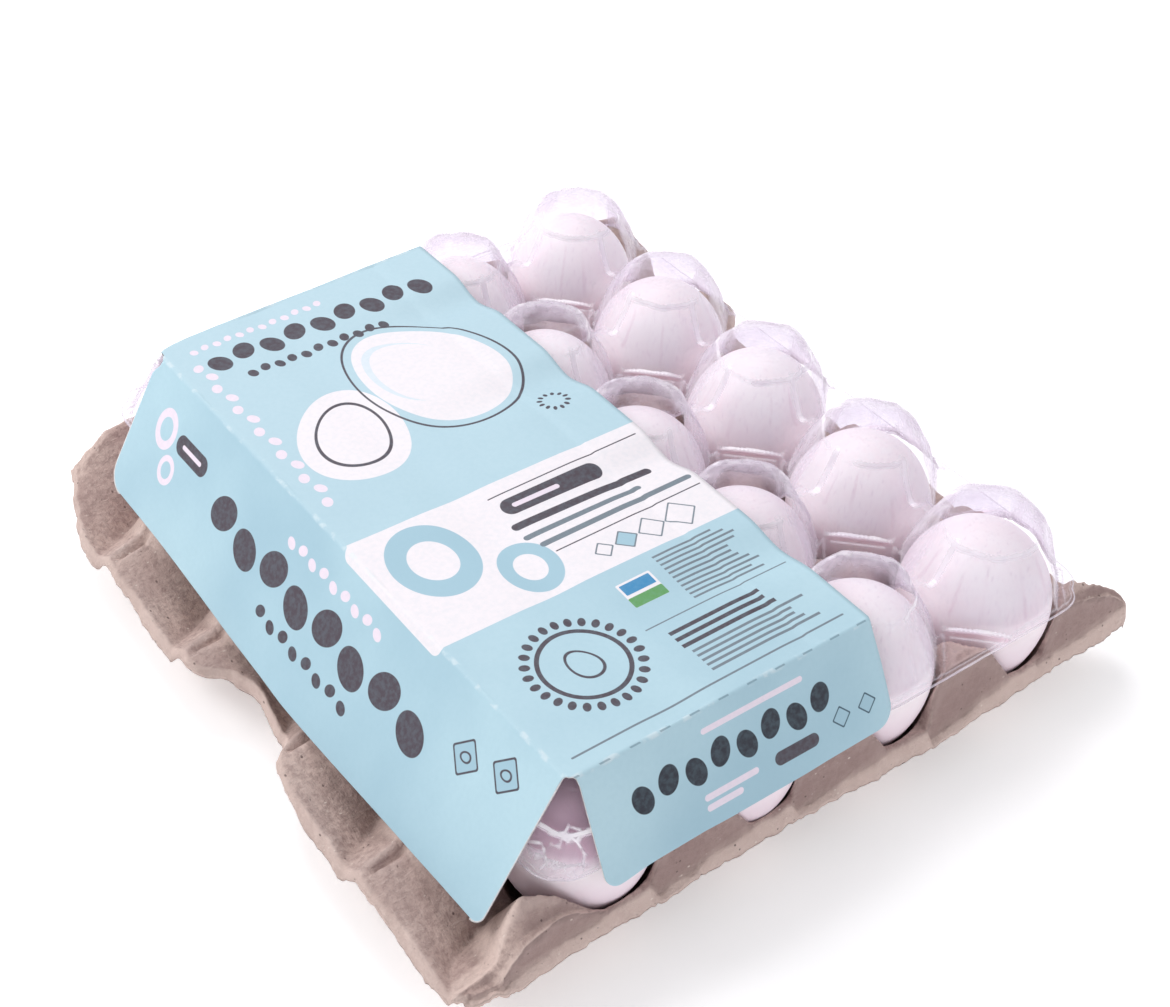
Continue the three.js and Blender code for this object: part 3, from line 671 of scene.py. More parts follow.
# how far the lips reach, in steps from egg to egg
LEFT_REACH = table([(-2.6, 2.5), (-2.4, 2.56), (-2.3, 2.568), (-0.9, 2.563), (-0.7, 2.53), (-0.52, 2.49), (-0.42, 2.37), (-0.2, 2.32), (0, 2.295), (0.12, 2.30), (0.24, 2.36), (0.38, 2.53), (0.5, 2.545), (1.8, 2.545), (1.9, 2.53), (2.0, 2.50), (2.1, 2.46), (2.2, 2.42), (2.3, 2.38), (2.4, 2.335), (2.6, 2.26)], 0.012, -3, 3)
RIGHT_REACH = table([(-2.6, 2.5), (-2.4, 2.556), (-2.3, 2.566), (-2.22, 2.53), (-2.12, 2.42), (-2.0, 2.36), (-0.56, 2.36), (-0.42, 2.33), (-0.1, 2.30), (0.12, 2.30), (0.4, 2.34), (0.6, 2.36), (1.15, 2.37), (1.28, 2.48), (1.38, 2.56), (1.5, 2.54), (1.6, 2.42), (1.8, 2.38), (2.1, 2.40), (2.3, 2.51), (2.4, 2.545), (2.6, 2.54)], 0.012, -3, 3)
FRONT_REACH = table([(-2.6, 2.47), (-2.4, 2.49), (-2.3, 2.515), (-2.0, 2.5), (-1.9, 2.485), (-0.2, 2.475), (0, 2.495), (0.7, 2.512), (1.5, 2.495), (1.7, 2.475), (2.3, 2.465), (2.6, 2.455)], 0.02, -3, 3)

fine_x = np.linspace(104.0, 121.9, 25)
tray_x = np.concatenate([-fine_x[::-1], np.linspace(-103.2, 103.2, 160), fine_x])
fine_y = np.linspace(112.4, 120.4, 18)
tray_y = np.concatenate([-fine_y[::-1], np.linspace(-111.9, 111.9, 173), fine_y])
TX, TY = np.meshgrid(tray_x, tray_y)
lx, _ = cell(TX, COLS)
ly, _ = cell(TY, ROWS)
d = np.hypot(lx, ly)
oy = np.abs(TY) - 2 * P
u = np.abs(TY) / P - 2
end = smooth(5.0, 13.0, oy)
cup = CUP(d) * (1 - end) + END_CUP(d) * end
s = (np.abs(TX) - 95.0) / 26.9
s01 = np.clip(s, 0, 1)
is_right, is_front = TX > 0, TY < 0
v = -ly / P
# the pockets: a sharp valley that slants forward, and a rib on either side
front_cell = TY < -1.5 * P
v0 = np.where(front_cell, CORNER_V(s), VALLEY_V(s))
zv = VALLEY_Z(s)
z_rib = np.where(is_right, RIB_RIGHT(s), RIB_LEFT(s))
wr = 0.064 * (1 - 0.6 * s01)
t_back = np.clip((v0 - v) / (v0 + 0.5 - wr), 0, 1)
t_front = np.clip((v - v0) / (0.5 - wr - v0), 0, 1)
pocket = zv + (z_rib - zv) * np.where(v < v0, t_back ** np.where(front_cell & ~is_right, 0.82, 1.15), t_front**0.9)
q = np.clip((0.5 - np.abs(v)) / wr, 0, 1)
pocket = pocket - 3.4 * smooth(0.06, 0.28, s) * smooth(0.97, 0.72, s) * (1 - q**1.4) * (np.abs(v) > 0.5 - wr)
# the corners' outer parts
cu, ru = LEFT_CREST_U(s), LEFT_U(s)
z_left = np.where(
    u < cu,
    zv + (LEFT_CREST_Z(s) - zv) * np.clip((u - v0) / np.maximum(cu - v0, 0.02), 0, 1),
    LEFT_CREST_Z(s) + (LEFT_Z(s) - LEFT_CREST_Z(s)) * np.clip((u - cu) / np.maximum(ru - cu, 0.02), 0, 1),
)
cu, ru = RIGHT_CREST_U(s), RIGHT_U(s)
z_right = np.where(
    u < cu,
    zv + (RIGHT_CREST_Z(s) - zv) * np.clip((u - v0) / np.maximum(cu - v0, 0.02), 0, 1),
    RIGHT_CREST_Z(s) + (RIGHT_Z(s) - RIGHT_CREST_Z(s)) * np.clip((u - cu) / np.maximum(ru - cu, 0.02), 0, 1),
)
z_back = np.where(is_right, BACK_RIGHT_Z(s), BACK_LEFT_Z(s))
z_back = zv + (z_back - zv) * np.clip((v0 - v) / (v0 + 0.42), 0, 1) ** 1.1
side = np.where(front_cell & (v > v0), np.where(is_right, z_right, z_left), pocket)
side = np.where((TY > 0) & (u > -1e-9), z_back, np.where((TY > 1.5 * P) & (v <= v0), z_back, side))
flank = smooth(-0.9, -0.7, s)
z_in = smin(cup, side, 1.2) * flank + cup * (1 - flank)
# the outline: finger notches, a ragged lip and rounded corners
reach_x = np.where(is_right, RIGHT_REACH(TY / P), LEFT_REACH(TY / P)) * P
rough_edge = 0.5 * vnoise(TY / 9.0 + 3, TX * 0 + np.sign(TX) * 7.5, 5) + 0.45 * vnoise(TY / 2.7, TX * 0 + np.sign(TX) * 3.5, 6) + 0.3 * vnoise(TY / 1.1, TX * 0 + np.sign(TX) * 1.5, 9)
nick = np.exp(-(((np.abs(v) - 0.47) / 0.02) ** 2)) * 0.5 * (np.abs(TY) < 85)
reach_x = np.minimum(reach_x + (rough_edge - nick - 0.2) * smooth(0.7, 1, s), 122.4)
X2 = np.where(s > 0, np.sign(TX) * (95 + s * (reach_x - 95)), TX)
reach_y = np.where(is_front, FRONT_REACH(TX / P) * P, 119.8)
ragged_y = 0.45 * vnoise(TX / 8.0 + 9, np.sign(TY) * 4.5 + TY * 0, 7) + 0.4 * vnoise(TX / 2.4, np.sign(TY) * 2.5 + TY * 0, 8) + 0.3 * vnoise(TX / 1.1, np.sign(TY) * 1.5 + TY * 0, 10)
reach_y = np.minimum(reach_y + ragged_y * smooth(112.4, 120, np.abs(TY)) - 0.1, 120.4)
past = np.abs(TY) - 112.4
Y2 = np.where(past > 0, np.sign(TY) * (112.4 + past / 8.0 * (reach_y - 112.4)), TY)
ex = np.where(s > 0, (1 - s) * (reach_x - 95), 60.0)
ey = np.where(past > 0, (8.0 - past) / 8.0 * (reach_y - 112.4), 60.0)
# the front and back rims and the steep faces of the humps over them
lxp = lx / P
middle = np.abs(TX) < 83.0
rim = np.where(middle, RIM(lxp), 60.0)
z_in = np.where(oy > 0, smin(z_in, rim, 0.8), z_in)
crease_z = np.where(np.abs(TX) < 78, CREASE_Z(lxp), np.where(is_right, 20.6 + 2.6 * smooth(86, 112, np.abs(TX)), 20.8 - 1.6 * smooth(95, 116, np.abs(TX))))
crease_z = np.where(is_front, crease_z, 21.0 + 4.2 * smooth(-84.0, -92.0, TX) * smooth(-119.0, -108.0, TX))
crease_z = crease_z + 0.5 * vnoise(TX / 5.0, TY * 0 + 3.3, 12)
wall = crease_z + 26 * np.clip((ey - 1.6) / 2.9, 0, 1) ** 0.9
z_in = np.where(ey < 8, smin(z_in, np.maximum(wall, crease_z), 0.5), z_in)
crease_z = crease_z + 2.4 * smooth(-106.0, -117.0, TX) * is_front
foot_y = np.minimum(17.6 + 3.4 * smooth(-104.0, -118.0, TX) * is_front, crease_z - 1.2)
band_y = foot_y + (crease_z - foot_y) * np.clip(ey / 1.35, 0, 1) ** 0.8
z_in = np.where(ey < 1.6, np.minimum(z_in, band_y), z_in)
# the long sides' lips hang down as a narrow band
hang = 0.9 + 2.8 * smooth(-0.30, 0.0, v) * smooth(0.46, 0.34, v)
hang = np.where(front_cell & (v > 0), 3.6 - 2.6 * smooth(0.08, 0.40, u) * ~is_right, hang)
hang = np.where(np.abs(TY) < 0.5 * P, 1.2 + 2.2 * smooth(-0.42, -0.1, v), hang)
Z = z_in - hang * (1 - np.clip(ex / 1.25, 0, 1) ** 0.8)
X2, Y2 = round_corner(X2, Y2, 121.9, 119.4, 6.5)
# pressed relief: broad dents, then small lumps
edge_gap = np.minimum(ex, ey)
relief = 0.34 * fbm(TX, TY, 17, 11, 2) + 0.17 * fbm(TX, TY, 4.2, 21, 2) + 0.09 * vnoise(TX / 1.7, TY / 1.7, 31)
relief = relief * smooth(2.9, 8, Z) * smooth(0.4, 2.5, edge_gap)
Z = Z + relief - 0.1 * smooth(2.9, 8, Z)
Z = np.where((Z < 3.2) & (d < 14), 2.8 + (Z - 2.8) * 0.3, Z)
Z = Z + (0.55 * vnoise(TX / 2.1, TY / 2.1, 41) + 0.35 * vnoise(TX / 1.0, TY / 1.0, 43) - 0.1) * smooth(2.0, 0.2, edge_gap)
# nothing stands up through the label's left flap
flap_in = -82.0 - X2
Z = np.where((flap_in > 2) & (flap_in < 26) & (np.abs(TY) < 2.26 * P), np.minimum(Z, 66.1 - flap_in * 1.632), Z)
Z = np.minimum(Z, 40.75)
tray, top_n = shell("pulp_tray", X2, Y2, Z, 1.9, 1.3 + 2.9 * smooth(0.4, 3.2, edge_gap), PULP, floor=3.4)
flat = lambda a: np.concatenate([a.ravel(), a.ravel()])
lip = smooth(1.9, 1.0, edge_gap)
# painted light and shade: crests are painted paler and pits darker, by how far a point stands over its surroundings
def spread(a, r):
    k = np.ones(2 * r + 1) / (2 * r + 1)
    a = np.apply_along_axis(lambda q: np.convolve(np.pad(q, r, mode="edge"), k, mode="valid"), 0, a)
    return np.apply_along_axis(lambda q: np.convolve(np.pad(q, r, mode="edge"), k, mode="valid"), 1, a)
stand = Z - spread(spread(Z, 3), 2)
float_layer(tray, "lip", flat(lip))
float_layer(tray, "crest", flat(smooth(0.35, 2.0, stand)))
float_layer(tray, "painted_pit_shade", flat(smooth(0.6, 2.6, -stand)))
slope_x = np.gradient(Z, axis=1) / np.maximum(np.abs(np.gradient(X2, axis=1)), 0.05)
slope_y = np.gradient(Z, axis=0) / np.maximum(np.abs(np.gradient(Y2, axis=0)), 0.05)
inland = smooth(0.8, 2.0, edge_gap)
# painted shade on steep faces turned to the front, and painted light on faces turned to the left, and to the back at
# the front-left corner
float_layer(tray, "steep", flat(smooth(0.4, 1.6, slope_y) * (TY < 0) * inland))
float_layer(tray, "wear_and_painted_light", flat(np.maximum(smooth(0.25, 1.2, slope_x - np.maximum(slope_y, 0) * 0.8) * (TX < -80), smooth(-0.2, -0.8, slope_y) * (TX < -88) * (TY < -2.3 * P)) * inland))
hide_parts("tray")

# ----------------------------------------------------------------- the lid
RAD = math.pi / 180
BEND = 1.6  # length of board that bends at each of the label's folds
UF, VF, VB = U0 + 1.1, V0 + 1.08, V1 - 1.1  # where the bends begin
# the back fold runs a little askew
BACK_FOLD = table([(-1.75, 2.105), (-1.65, 2.13), (-1.55, 2.141), (-1.35, 2.15), (-0.95, 2.162), (-0.55, 2.168), (-0.15, 2.183), (0.31, 2.19)], 0.015, -3, 3)
DOME = table([(0, 65.15), (0.18, 65.1), (0.225, 64.6), (0.262, 63.3), (0.283, 61.9), (0.312, 58.6), (0.40, 50.8), (0.462, 43.6), (0.474, 42.3), (2, 42.3)], 0.005, -1, 3)
lid_x = np.concatenate([np.linspace(-94.9, 2.0, 50), np.linspace(2.8, 94.9, 116)])
lid_y = np.linspace(-118.6, 118.6, 258)
LX, LY = np.meshgrid(lid_x, lid_y)
lx, ci = cell(LX, COLS)
ly, cj = cell(LY, ROWS)
ax, ay = np.abs(lx) / P, np.abs(ly) / P
r = np.hypot(ax, ay)
th = np.arctan2(ly, lx)
octo = np.maximum(np.maximum(ax, ay), (ax + ay) / math.sqrt(2) * 1.015)
rho = 0.35 * r + 0.65 * octo
lobe = np.abs(np.cos(4 * th))
# eight pillows round each dome, with cusps between them at the top edge
top_w = np.exp(-(((rho - 0.27) / 0.045) ** 2))
rho2 = rho / (1 + 0.11 * (lobe - 0.6) * top_w)
# fine upright pleats, unlike on each dome
seed = ci * 7.3 + cj * 3.1
pleat = np.sin(th * 37 + seed) * 0.5 + np.sin(th * 61 + seed * 2.1) * 0.35 + np.sin(th * 23 + seed * 1.3) * 0.3
rho2 = rho2 * (1 - 0.0045 * pleat * smooth(0.27, 0.31, rho))
# the outermost domes bulge a little towards the pack's right side
bulge = (ci == COLS - 1) * smooth(0.0, 0.22, lx / P) * smooth(0.475, 0.40, rho)
rho2 = rho2 * (1 - 0.065 * bulge)
# under the label the end rows' domes are a little smaller
ody = np.abs(LY) / P - 2
squeeze = 1 + 0.03 * smooth(0.0, 0.2, ody) * smooth(0.45, 0.3, ody) * smooth(-82.0, -72.0, LX) * (LX < 0.42 * P)
# the domes' far shoulders stand a little wider than their near ones
far_side = smooth(0.0, 0.9, np.cos(th - 0.95)) * smooth(0.475, 0.38, rho) * ~((LY > 1.5 * P) & (LX < 0.42 * P))
squeeze = squeeze * (1 - 0.17 * far_side)
facets = np.abs(np.cos(3.5 * th + seed * 0.7)) - 0.64
squeeze = squeeze * (1 + 0.03 * facets * smooth(0.2, 0.26, rho) * smooth(0.44, 0.36, rho))
squeeze = squeeze * (1 - 0.05 * bulge * smooth(0.27, 0.33, rho) * smooth(0.46, 0.40, rho))
dome = DOME(rho2 * squeeze)
bead = 0.35 * np.exp(-(((rho2 - 0.272) / 0.012) ** 2)) * smooth(0.1, 0.55, lobe)
dome = dome + np.where(rho < 0.34, bead, 0) - 0.18
# short ridges from dome to dome
in_x = (np.abs(LX) < 1.5 * P) & (ax > 0.22)
in_y = (np.abs(LY) < 2.0 * P) & (ay > 0.22)
ridge_x = 50.4 - 8.1 * smooth(0.10, 0.235, ay) - 1.0 * smooth(0.0, 0.1, ay)
ridge_y = 50.4 - 8.1 * smooth(0.10, 0.235, ax) - 1.0 * smooth(0.0, 0.1, ax)
zl = np.maximum(dome, 42.3)
zl = np.where(in_x, smax(zl, ridge_x, 0.7), zl)
zl = np.where(in_y, smax(zl, ridge_y, 0.7), zl)
# a bead along the foot of each diagonal face, over the posts
turn = np.abs(np.abs(th) % (math.pi / 2) - math.pi / 4)
diag = np.exp(-((turn / 0.36) ** 6))
foot_bead = 1.5 * np.exp(-(((octo - 0.494) / 0.015) ** 2)) * diag
zl = zl + foot_bead * smooth(0.36, 0.42, r)
# the flange: a step down and a rolled edge
ox = np.abs(LX) - 1.5 * P
oy2 = np.abs(LY) - 2.0 * P
edge = np.maximum(ox, oy2)
zl = np.where(edge > 21.6, 42.3 + (zl - 42.3) * smooth(22.6, 21.6, edge), zl)
zl = zl + 0.45 * np.exp(-(((edge - 23.2) / 0.45) ** 2))
# the right side's flange is lifted along the domes
lift = smooth(83.0, 92.5, LX) * smooth(-103.0, -93.0, LY) * smooth(112.0, 100.0, LY)
zl = zl + 4.6 * lift * smooth(50.0, 44.0, zl)
# slack in the sheet, and crumpled places between the domes
slack = 0.16 * fbm(LX, LY, 11, 61, 2) + 0.05 * vnoise(LX / 2.6, LY / 2.6, 71)
zl = zl + slack * smooth(42.5, 46, zl) + 0.12 * np.abs(vnoise(LX / 3.1, LY / 3.1, 73)) * smooth(0.40, 0.47, rho)
zl = np.minimum(zl, 65.5)
# the flange's corners are rounded, outside the domes' feet
XR, YR = round_corner(LX, LY, 95.0, 118.75, np.where((LX < 0) & (LY > 0), 0.42, 0.36) * P)
outside = smooth(0.44, 0.70, r)
XL, YL = LX + (XR - LX) * outside, LY + (YR - LY) * outside
# the label's flaps press the sheet in a little
pull = (0.15 + 0.35 * smooth(-1.15 * P, -1.5 * P, XL)) * smooth(U1 + 4, U1 - 4, XL)
YL = np.where(YL < -114.0, -114.0 + (YL + 114.0) * (1 - pull), YL)


def under_flap(out, slope):
    """The height just under a flap, this far out from where its bend begins."""
    return 66.35 - (out - BEND / slope * np.tan(slope / 2)) * np.tan(slope) - 0.42 / np.cos(slope) - 0.3


zl = np.where(XL < UF, np.minimum(zl, under_flap(UF - XL, 58.5 * RAD)), zl)
zl = np.where((YL < VF) & (XL < U1 + 0.6), np.minimum(zl, under_flap(VF - YL, (61.5 + 2.9 * smooth(-1.0 * P, -1.6 * P, XL)) * RAD)), zl)
back_at = BACK_FOLD(np.clip(XL, UF, U1) / P) * P - 1.1
zl = np.where((YL > back_at) & (XL < U1 + 0.6), np.minimum(zl, under_flap(YL - back_at, 53.5 * RAD)), zl)
lid, _ = shell("clear_lid", XL, YL, zl, 0.32, 0.9, SHEET)
sharp = np.abs(zl - spread(zl, 1))
crease = smooth(0.12, 0.7, sharp) * smooth(0.9, 0.2, np.abs(spread(zl, 1) - spread(zl, 3)) * 0.4)
float_layer(lid, "crease", flat(crease))
# where the sheet's painted highlight lines run: round the domes, along the ridges, the beads and the flange; each is a
# distance, so that the line stays crisp
float_layer(lid, "ring", flat(rho2 * squeeze))
near_x = (np.abs(LX) < 1.5 * P) * smooth(0.26, 0.29, ax) * smooth(0.47, 0.43, ax) * smooth(0.14, 0.10, ay)
near_y = (np.abs(LY) < 2.0 * P) * smooth(0.26, 0.29, ay) * smooth(0.47, 0.43, ay) * smooth(0.14, 0.10, ax)
float_layer(lid, "lift", flat(lift))
float_layer(lid, "ridge_x", flat(ly / P))
float_layer(lid, "ridge_y", flat(lx / P))
float_layer(lid, "on_x", flat(near_x))
float_layer(lid, "on_y", flat(near_y))
float_layer(lid, "bar", flat(octo - 0.494))
# the beads' painted highlights, kept to the corners turned towards and away from the camera, and away from the
# front-left corner
float_layer(lid, "corner", flat(diag * smooth(0.01, 0.02, lx * ly / P**2) * smooth(0.36, 0.42, r) * ~((LX < -70) & (LY < -98))))
upright = smooth(0.285, 0.31, rho) * smooth(0.47, 0.44, rho)
float_layer(lid, "pleat", flat((0.5 * np.sin(th * 19 + seed) + 0.5 * np.sin(th * 31 + seed * 1.7)) * upright))
# where painted glints go: the lower wall of the front-left corner dome
painted_glint_area = smooth(-70.0, -78.0, LX) * smooth(-100.0, -106.0, LY) * smooth(56.0, 51.0, zl) * smooth(42.0, 44.5, zl)
float_layer(lid, "slack", flat(painted_glint_area))
# one long painted highlight stroke crosses that corner, with two short ones under it
along = (LX + 80.0) * 0.72 - (LY + 108.0) * 0.69
stroke = np.where(painted_glint_area > 0.05, zl - 51.0 - 0.9 * np.sin(along * 0.42), 9.0)
float_layer(lid, "stroke", flat(np.clip(stroke, -9, 9)))
float_layer(lid, "far", flat(smooth(-0.6, 0.8, np.cos(th - 0.95)) * smooth(44.0, 58.0, zl) * smooth(0.1, 0.24, rho)))
# painted shade round the front-left corner dome
float_layer(lid, "shade", flat(smooth(-58.0, -72.0, LX) * smooth(-94.0, -104.0, LY) * smooth(42.5, 45.0, zl)))
float_layer(lid, "edge", flat(edge))
lid.visible_shadow = False
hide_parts("lid")


# ---------------------------------------------------------------- the label
def fold(s, slope):
    """How far out and how far down a point of a flap lies, s along the board past the fold's start."""
    s = np.asarray(s, float)
    t = np.clip(s, 0, BEND)
    a = slope * t / BEND
    big = BEND / slope
    rest = np.maximum(s - BEND, 0)
    return big * np.sin(a) + rest * np.cos(slope), big * (1 - np.cos(a)) + rest * np.sin(slope)


# the flaps' lengths past their folds, along each fold
LEFT_LEN = table([(-2.3, 0.958), (-2.0, 0.966), (-1.65, 0.974), (-0.15, 0.974), (0.1, 0.962), (0.6, 0.953), (0.85, 0.943), (1.1, 0.933), (1.35, 0.921), (1.6, 0.909), (1.85, 0.901), (2.3, 0.89)], 0.03, -3, 3)
FRONT_LEN = table([(-1.8, 0.66), (-1.7, 0.66), (-1.5, 0.64), (-1.1, 0.616), (-0.9, 0.621), (-0.3, 0.621), (-0.1, 0.616), (0.4, 0.612)], 0.03, -3, 3)
LEFT, FRONT, BACK = 0.985 * P + BEND, 0.66 * P + BEND, 0.535 * P + BEND


def steps(length, first, n):
    """Rows past a fold: close ones over the bend, then even ones."""
    return np.concatenate([np.linspace(0, BEND, first)[1:], np.linspace(BEND, length - 6, n - 8)[1:], length - 6 + 6 * np.sin(np.linspace(0, math.pi / 2, 10)[1:])])


def stretched(s, length, longest):
    """Spreads the rows beyond the bend over a flap of another length."""
    return np.where(s > BEND, BEND + (s - BEND) * (length - BEND) / (longest - BEND), s)


u_in = np.concatenate([np.linspace(UF, UF + 4, 9), np.linspace(UF + 5.4, U1, 64)])
v_in = np.concatenate([np.linspace(VF, VF + 4, 9), np.linspace(VF + 5.4, VB - 5.4, 132), np.linspace(VB - 4, VB, 9)])
u_left = UF - steps(LEFT, 5, 30)[::-1]
v_front = VF - steps(FRONT, 5, 22)[::-1]
v_back = VB + steps(BACK, 5, 20)
us = np.concatenate([u_left, u_in])
vs = np.concatenate([v_front, v_in, v_back])
GU, GV = np.meshgrid(us, vs)
left, front_, back_ = GU < UF - 1e-6, GV < VF - 1e-6, GV > VB + 1e-6


def side_in(t, length, gap, slant, radius):
    """How far a flap's side has come in at distance t: a quick round start, a slant, then a rounded corner."""
    quick = gap * np.sqrt(1 - (1 - np.clip(t / 3.6, 0, 1)) ** 2)
    c = np.clip(t - (length - radius), 0, radius)
    return quick + slant * np.clip(t / length, 0, 1) + radius - np.sqrt(np.maximum(radius**2 - c**2, 0))


# in the middle the board lies on the domes and sags between them
sag_row = smooth(0.22, 0.5, np.abs(cell(GV, ROWS)[0]) / P) * (np.abs(GV) < 2 * P)
across = np.clip((GU - UF) / (U1 - UF), 0, 1)
sag_col = smooth(0.24, 0.5, np.abs(cell(GU, COLS)[0]) / P) * (GU > UF + 14) * (GU < U1 - 18)
wave = 0.75 + 0.45 * vnoise(GV / 60.0 + 2.2, GU * 0 + 1.5, 81)
sag = (0.35 + 3.9 * across**2.4) * sag_row * wave + 0.45 * sag_col
sag = sag + 0.25 * (fbm(GU, GV, 60, 91, 2) + 0.6) * smooth(0, 12, GU - UF)
TOP = 66.35
LZ = TOP - sag
LXX, LYY = GU.copy(), GV.copy()
FU, FV = GU.copy(), GV.copy()
# left flap
len_l = LEFT_LEN(GV / P) * P + BEND
s = stretched(UF - GU, len_l, LEFT)
o, dn = fold(s, 58.5 * RAD)
tl = side_in(s, len_l, 1.0, -0.1, 3.4)
tb = side_in(s, len_l, 4.6, 2.6, 7.0)
frac = (GV - VF) / (VB - VF)
bow = 0.7 * np.sin(np.pi * np.clip(frac, 0, 1)) * (s / LEFT) ** 1.5 - 0.4 * (s / LEFT) ** 2 * np.sin(3.1 * np.pi * frac + 0.4)
bow = np.maximum(bow, -0.3)
LXX = np.where(left, UF - o - bow * math.sin(58.5 * RAD), LXX)
LZ = np.where(left, TOP - dn - bow * math.cos(58.5 * RAD), LZ)
LYY = np.where(left, VF + tl + frac * (VB - VF - tl - tb), LYY)
FU = np.where(left, UF - s, FU)
# front and back flaps
for mask, edge_v, longest, slope, sign in ((front_, VF, FRONT, 61.5 * RAD, -1), (back_, VB, BACK, 53.5 * RAD, 1)):
    length = FRONT_LEN(GU / P) * P + BEND if sign < 0 else longest + 0 * GU
    s = stretched((GV - edge_v) * sign, length, longest)
    slope = slope + (2.9 * RAD * smooth(-1.0 * P, -1.6 * P, GU) if sign < 0 else 0.0)
    o, dn = fold(s, slope)
    tl = side_in(s, length, 1.9, 0.4, 4.0)
    tr = side_in(s, length, 0.5, -0.5, 6.0)
    frac = (GU - UF) / (U1 - UF)
    bow = 0.6 * np.sin(np.pi * np.clip(s / length, 0, 1)) * smooth(0.55, 1.0, frac)
    LYY = np.where(mask, edge_v + sign * (o + bow * np.sin(slope)), LYY)
    LZ = np.where(mask, TOP - dn + bow * np.cos(slope) * 0.4, LZ)
    LXX = np.where(mask, UF + tl + frac * (U1 - UF - tl - tr), LXX)
    FV = np.where(mask, edge_v + sign * s, FV)
LYY = LYY + (BACK_FOLD(np.clip(GU, UF, U1) / P) * P - V1) * smooth(1.55 * P, VB, GV) * smooth(UF - 8, UF, GU)
LZ = np.minimum(LZ, TOP)
keep = ~((left & front_) | (left & back_))
ids = -np.ones(GU.shape, int)
cells = keep[:-1, :-1] & keep[1:, :-1] & keep[:-1, 1:] & keep[1:, 1:]
used = np.zeros(GU.shape, bool)
for a, b in ((0, 0), (1, 0), (0, 1), (1, 1)):
    used[a:GU.shape[0] - 1 + a, b:GU.shape[1] - 1 + b] |= cells
ids[used] = np.arange(used.sum())
top = np.stack([LXX[used], LYY[used], LZ[used]], 1)
# the board's own thickness, along its normal
dU = np.stack([np.gradient(a, axis=1) for a in (LXX, LYY, LZ)], -1)
dV = np.stack([np.gradient(a, axis=0) for a in (LXX, LYY, LZ)], -1)
nrm = np.cross(dU, dV)
nrm /= np.maximum(np.linalg.norm(nrm, axis=-1, keepdims=True), 1e-9)
low = top - nrm[used] * 0.42
low[:, 2] = np.minimum(low[:, 2], TOP)
J, I = np.nonzero(cells)
quads = np.stack([ids[J, I], ids[J, I + 1], ids[J + 1, I + 1], ids[J + 1, I]], 1)
n = len(top)
count = {}
for q in quads.tolist():
    for a, b in zip(q, q[1:] + q[:1]):
        count[(a, b)] = 1
border = [(a, b) for (a, b) in count if (b, a) not in count]
walls = [(a, a + n, b + n, b) for a, b in border]
faces = quads.tolist() + (quads[:, ::-1] + n).tolist() + walls
label = new_object("board_label", np.concatenate([top, low]), faces, [PRINT, BOARD], slots=[0] * len(quads) + [1] * (len(quads) + len(walls)))
uv = label.data.uv_layers.new(name="flat")
flat_uv = np.stack([FU[used], FV[used]], 1) * MM
flat_uv = np.concatenate([flat_uv, flat_uv])
loops = np.zeros(len(label.data.loops), int)
label.data.loops.foreach_get("vertex_index", loops)
uv.data.foreach_set("uv", flat_uv[loops].ravel().astype(np.float32))
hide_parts("label")

# ----------------------------------------------------------------- the eggs
# Each egg's own shift from its cup's centre, radius and blunt-end height, by
# column from the back row forward.
EGG_SET = [
    [(-0.3, 0.2, 21.6, 25.2), (0.2, -0.4, 21.8, 25.6), (0.1, 0.3, 21.5, 25.0), (-0.2, 0.1, 21.9, 25.5), (0.2, 0.3, 21.9, 25.0)],
    [(0.1, -0.2, 21.7, 25.4), (-0.3, 0.2, 21.6, 24.9), (0.2, 0.1, 21.8, 25.7), (0.1, -0.3, 21.5, 25.2), (0.4, -0.3, 21.9, 25.3)],
    [(0.2, 0, 21.8, 25.6), (0, -0.8, 21.6, 24.5), (-0.3, -0.7, 21.5, 24.5), (0.1, 0, 21.8, 25.5), (0.2, -0.1, 22.1, 25.6)],
    [(-0.7, 0.4, 21.5, 25.6), (0, 0.3, 21.9, 26.0), (0.4, 0.2, 22, 26.1), (0, 0, 21.6, 25.5), (-0.2, 0.2, 21.9, 25.6)],
]
turns = np.random.RandomState(17)
number = 0
for row in range(ROWS):
    for col in range(COLS):
        number += 1
        dx, dy, radius, up = EGG_SET[col][row]
        nu, nv = 56, 34
        a = np.linspace(0, 2 * np.pi, nu, endpoint=False)
        b = np.linspace(-np.pi / 2, np.pi / 2, nv)[1:-1]
        A, B = np.meshgrid(a, b)
        s = np.sin(B)
        tap = np.where(s < 0, 1 + 0.09 * s, 1 - 0.02 * s**2)
        R = radius * np.cos(B) * tap
        H = np.where(s < 0, s * 31.0, s * up)
        wob = 1 + 0.004 * np.sin(2 * A + turns.rand() * 6) * np.cos(B) + 0.003 * np.sin(3 * A + 2 * B + turns.rand() * 6) * np.cos(B)
        ex, ey, ez = (R * np.cos(A) * wob).ravel(), (R * np.sin(A) * wob).ravel(), H.ravel()
        pts = np.stack([np.append(ex, [0, 0]), np.append(ey, [0, 0]), np.append(ez, [-31.0, up])], 1)
        # a small lean, about the widest circle
        lean, way = turns.rand() * 1.6 * RAD, turns.rand() * 2 * np.pi
        axis = np.array([math.cos(way), math.sin(way), 0.0])
        c, s_ = math.cos(lean), math.sin(lean)
        pts = pts * c + np.cross(axis, pts) * s_ + np.outer(pts @ axis, axis) * (1 - c)
        pts += [(col - 1.5) * P + dx, (2 - row) * P + dy, ZE]
        m_ = nv - 2
        fs = []
        for j in range(m_ - 1):
            for i in range(nu):
                k = (i + 1) % nu
                fs.append((j * nu + i, j * nu + k, (j + 1) * nu + k, (j + 1) * nu + i))
        for i in range(nu):
            k = (i + 1) % nu
            fs.append((m_ * nu, k, i))
            fs.append((m_ * nu + 1, (m_ - 1) * nu + i, (m_ - 1) * nu + k))
        egg = new_object("egg_%02d_shell" % number, pts, fs, SHELL)
        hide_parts("egg_%02d" % number)

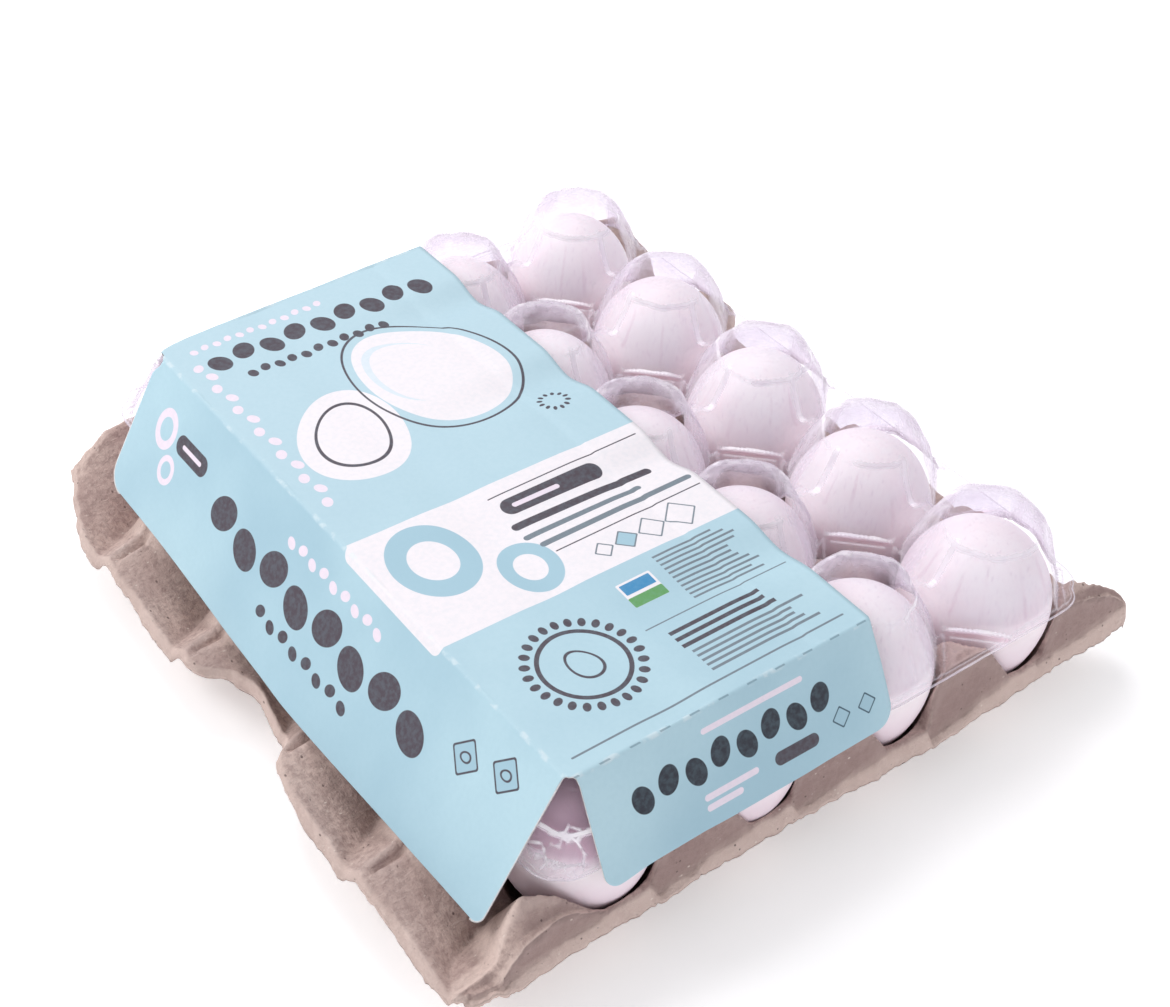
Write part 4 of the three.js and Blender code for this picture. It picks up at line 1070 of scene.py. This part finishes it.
# ------------------------------------------------------- floor, light, camera
floor_mat = Nodes("floor")
fco = floor_mat.coords()
fcol = floor_mat.mix(floor_mat.noise(fco, 3, 2), srgb(250, 250, 251), srgb(253, 253, 254))
floor_mat.surface(floor_mat.principled(fcol, 0.9, Specular_IOR_Level=0.1, Emission_Color=(1, 1, 1, 1), Emission_Strength=0.32))
fm = bpy.data.meshes.new("floor")
fm.from_pydata([(-6, -6, -0.0004), (6, -6, -0.0004), (6, 6, -0.0004), (-6, 6, -0.0004)], [], [(0, 1, 2, 3)])
floor = bpy.data.objects.new("floor", fm)
fm.materials.append(floor_mat.mat)
bpy.context.scene.collection.objects.link(floor)

from mathutils import Matrix

scene = bpy.context.scene
world = bpy.data.worlds.new("studio")
world.use_nodes = True
bg = world.node_tree.nodes["Background"]
bg.inputs[0].default_value = (0.96, 0.97, 1.0, 1)
bg.inputs[1].default_value = 0.56
scene.world = world
scene.view_settings.view_transform = "Standard"


def softbox(name, where, at, size, power, color=(1, 1, 1), size_y=None):
    light = bpy.data.lights.new(name, "AREA")
    light.energy, light.color, light.size = power, color, size
    if size_y:
        light.shape, light.size_y = "RECTANGLE", size_y
    obj = bpy.data.objects.new(name, light)
    scene.collection.objects.link(obj)
    w = np.array(where, float)
    back = w - np.array(at, float)
    back /= np.linalg.norm(back)
    upv = np.array([0, 0, 1.0]) if abs(back[2]) < 0.95 else np.array([0, 1.0, 0])
    right = np.cross(upv, back)
    right /= np.linalg.norm(right)
    true_up = np.cross(back, right)
    obj.matrix_world = Matrix([[right[0], true_up[0], back[0], w[0]], [right[1], true_up[1], back[1], w[1]], [right[2], true_up[2], back[2], w[2]], [0, 0, 0, 1]])
    return obj


softbox("key_left", (-1.0, 0.9, 1.2), (0, 0, 0.03), 0.8, 12.6, (1, 0.985, 0.98))
softbox("top_back", (0.3, 0.8, 1.4), (0, 0, 0.03), 0.9, 8.5, (1.0, 0.985, 1.0))
softbox("front_fill", (0.6, -1.3, 0.8), (0, 0, 0.03), 0.8, 3.2, (0.985, 0.97, 1.0))

az, el, roll = math.radians(-35.746), math.radians(40.834), math.radians(0.909)
back = np.array([math.sin(az) * math.cos(el), -math.cos(az) * math.cos(el), math.sin(el)])
right0 = np.cross([0, 0, 1.0], back)
right0 /= np.linalg.norm(right0)
up0 = np.cross(back, right0)
right = math.cos(roll) * right0 + math.sin(roll) * up0
up = -math.sin(roll) * right0 + math.cos(roll) * up0
centre = (-0.5205 * right + 0.0369 * up + 12.1381 * back) * P * MM + np.array([0, 0, ZE * MM])
cam_data = bpy.data.cameras.new("camera")
cam_data.sensor_width = 36.0
cam_data.lens = 1928.12 / 1170 * 36
cam_data.shift_x = (585 - 490) / 1170
cam_data.shift_y = 0.0
cam_data.clip_start, cam_data.clip_end = 0.05, 20
cam = bpy.data.objects.new("camera", cam_data)
scene.collection.objects.link(cam)
cam.matrix_world = Matrix([[right[k], up[k], back[k], centre[k]] for k in range(3)] + [[0, 0, 0, 1]])
scene.camera = cam
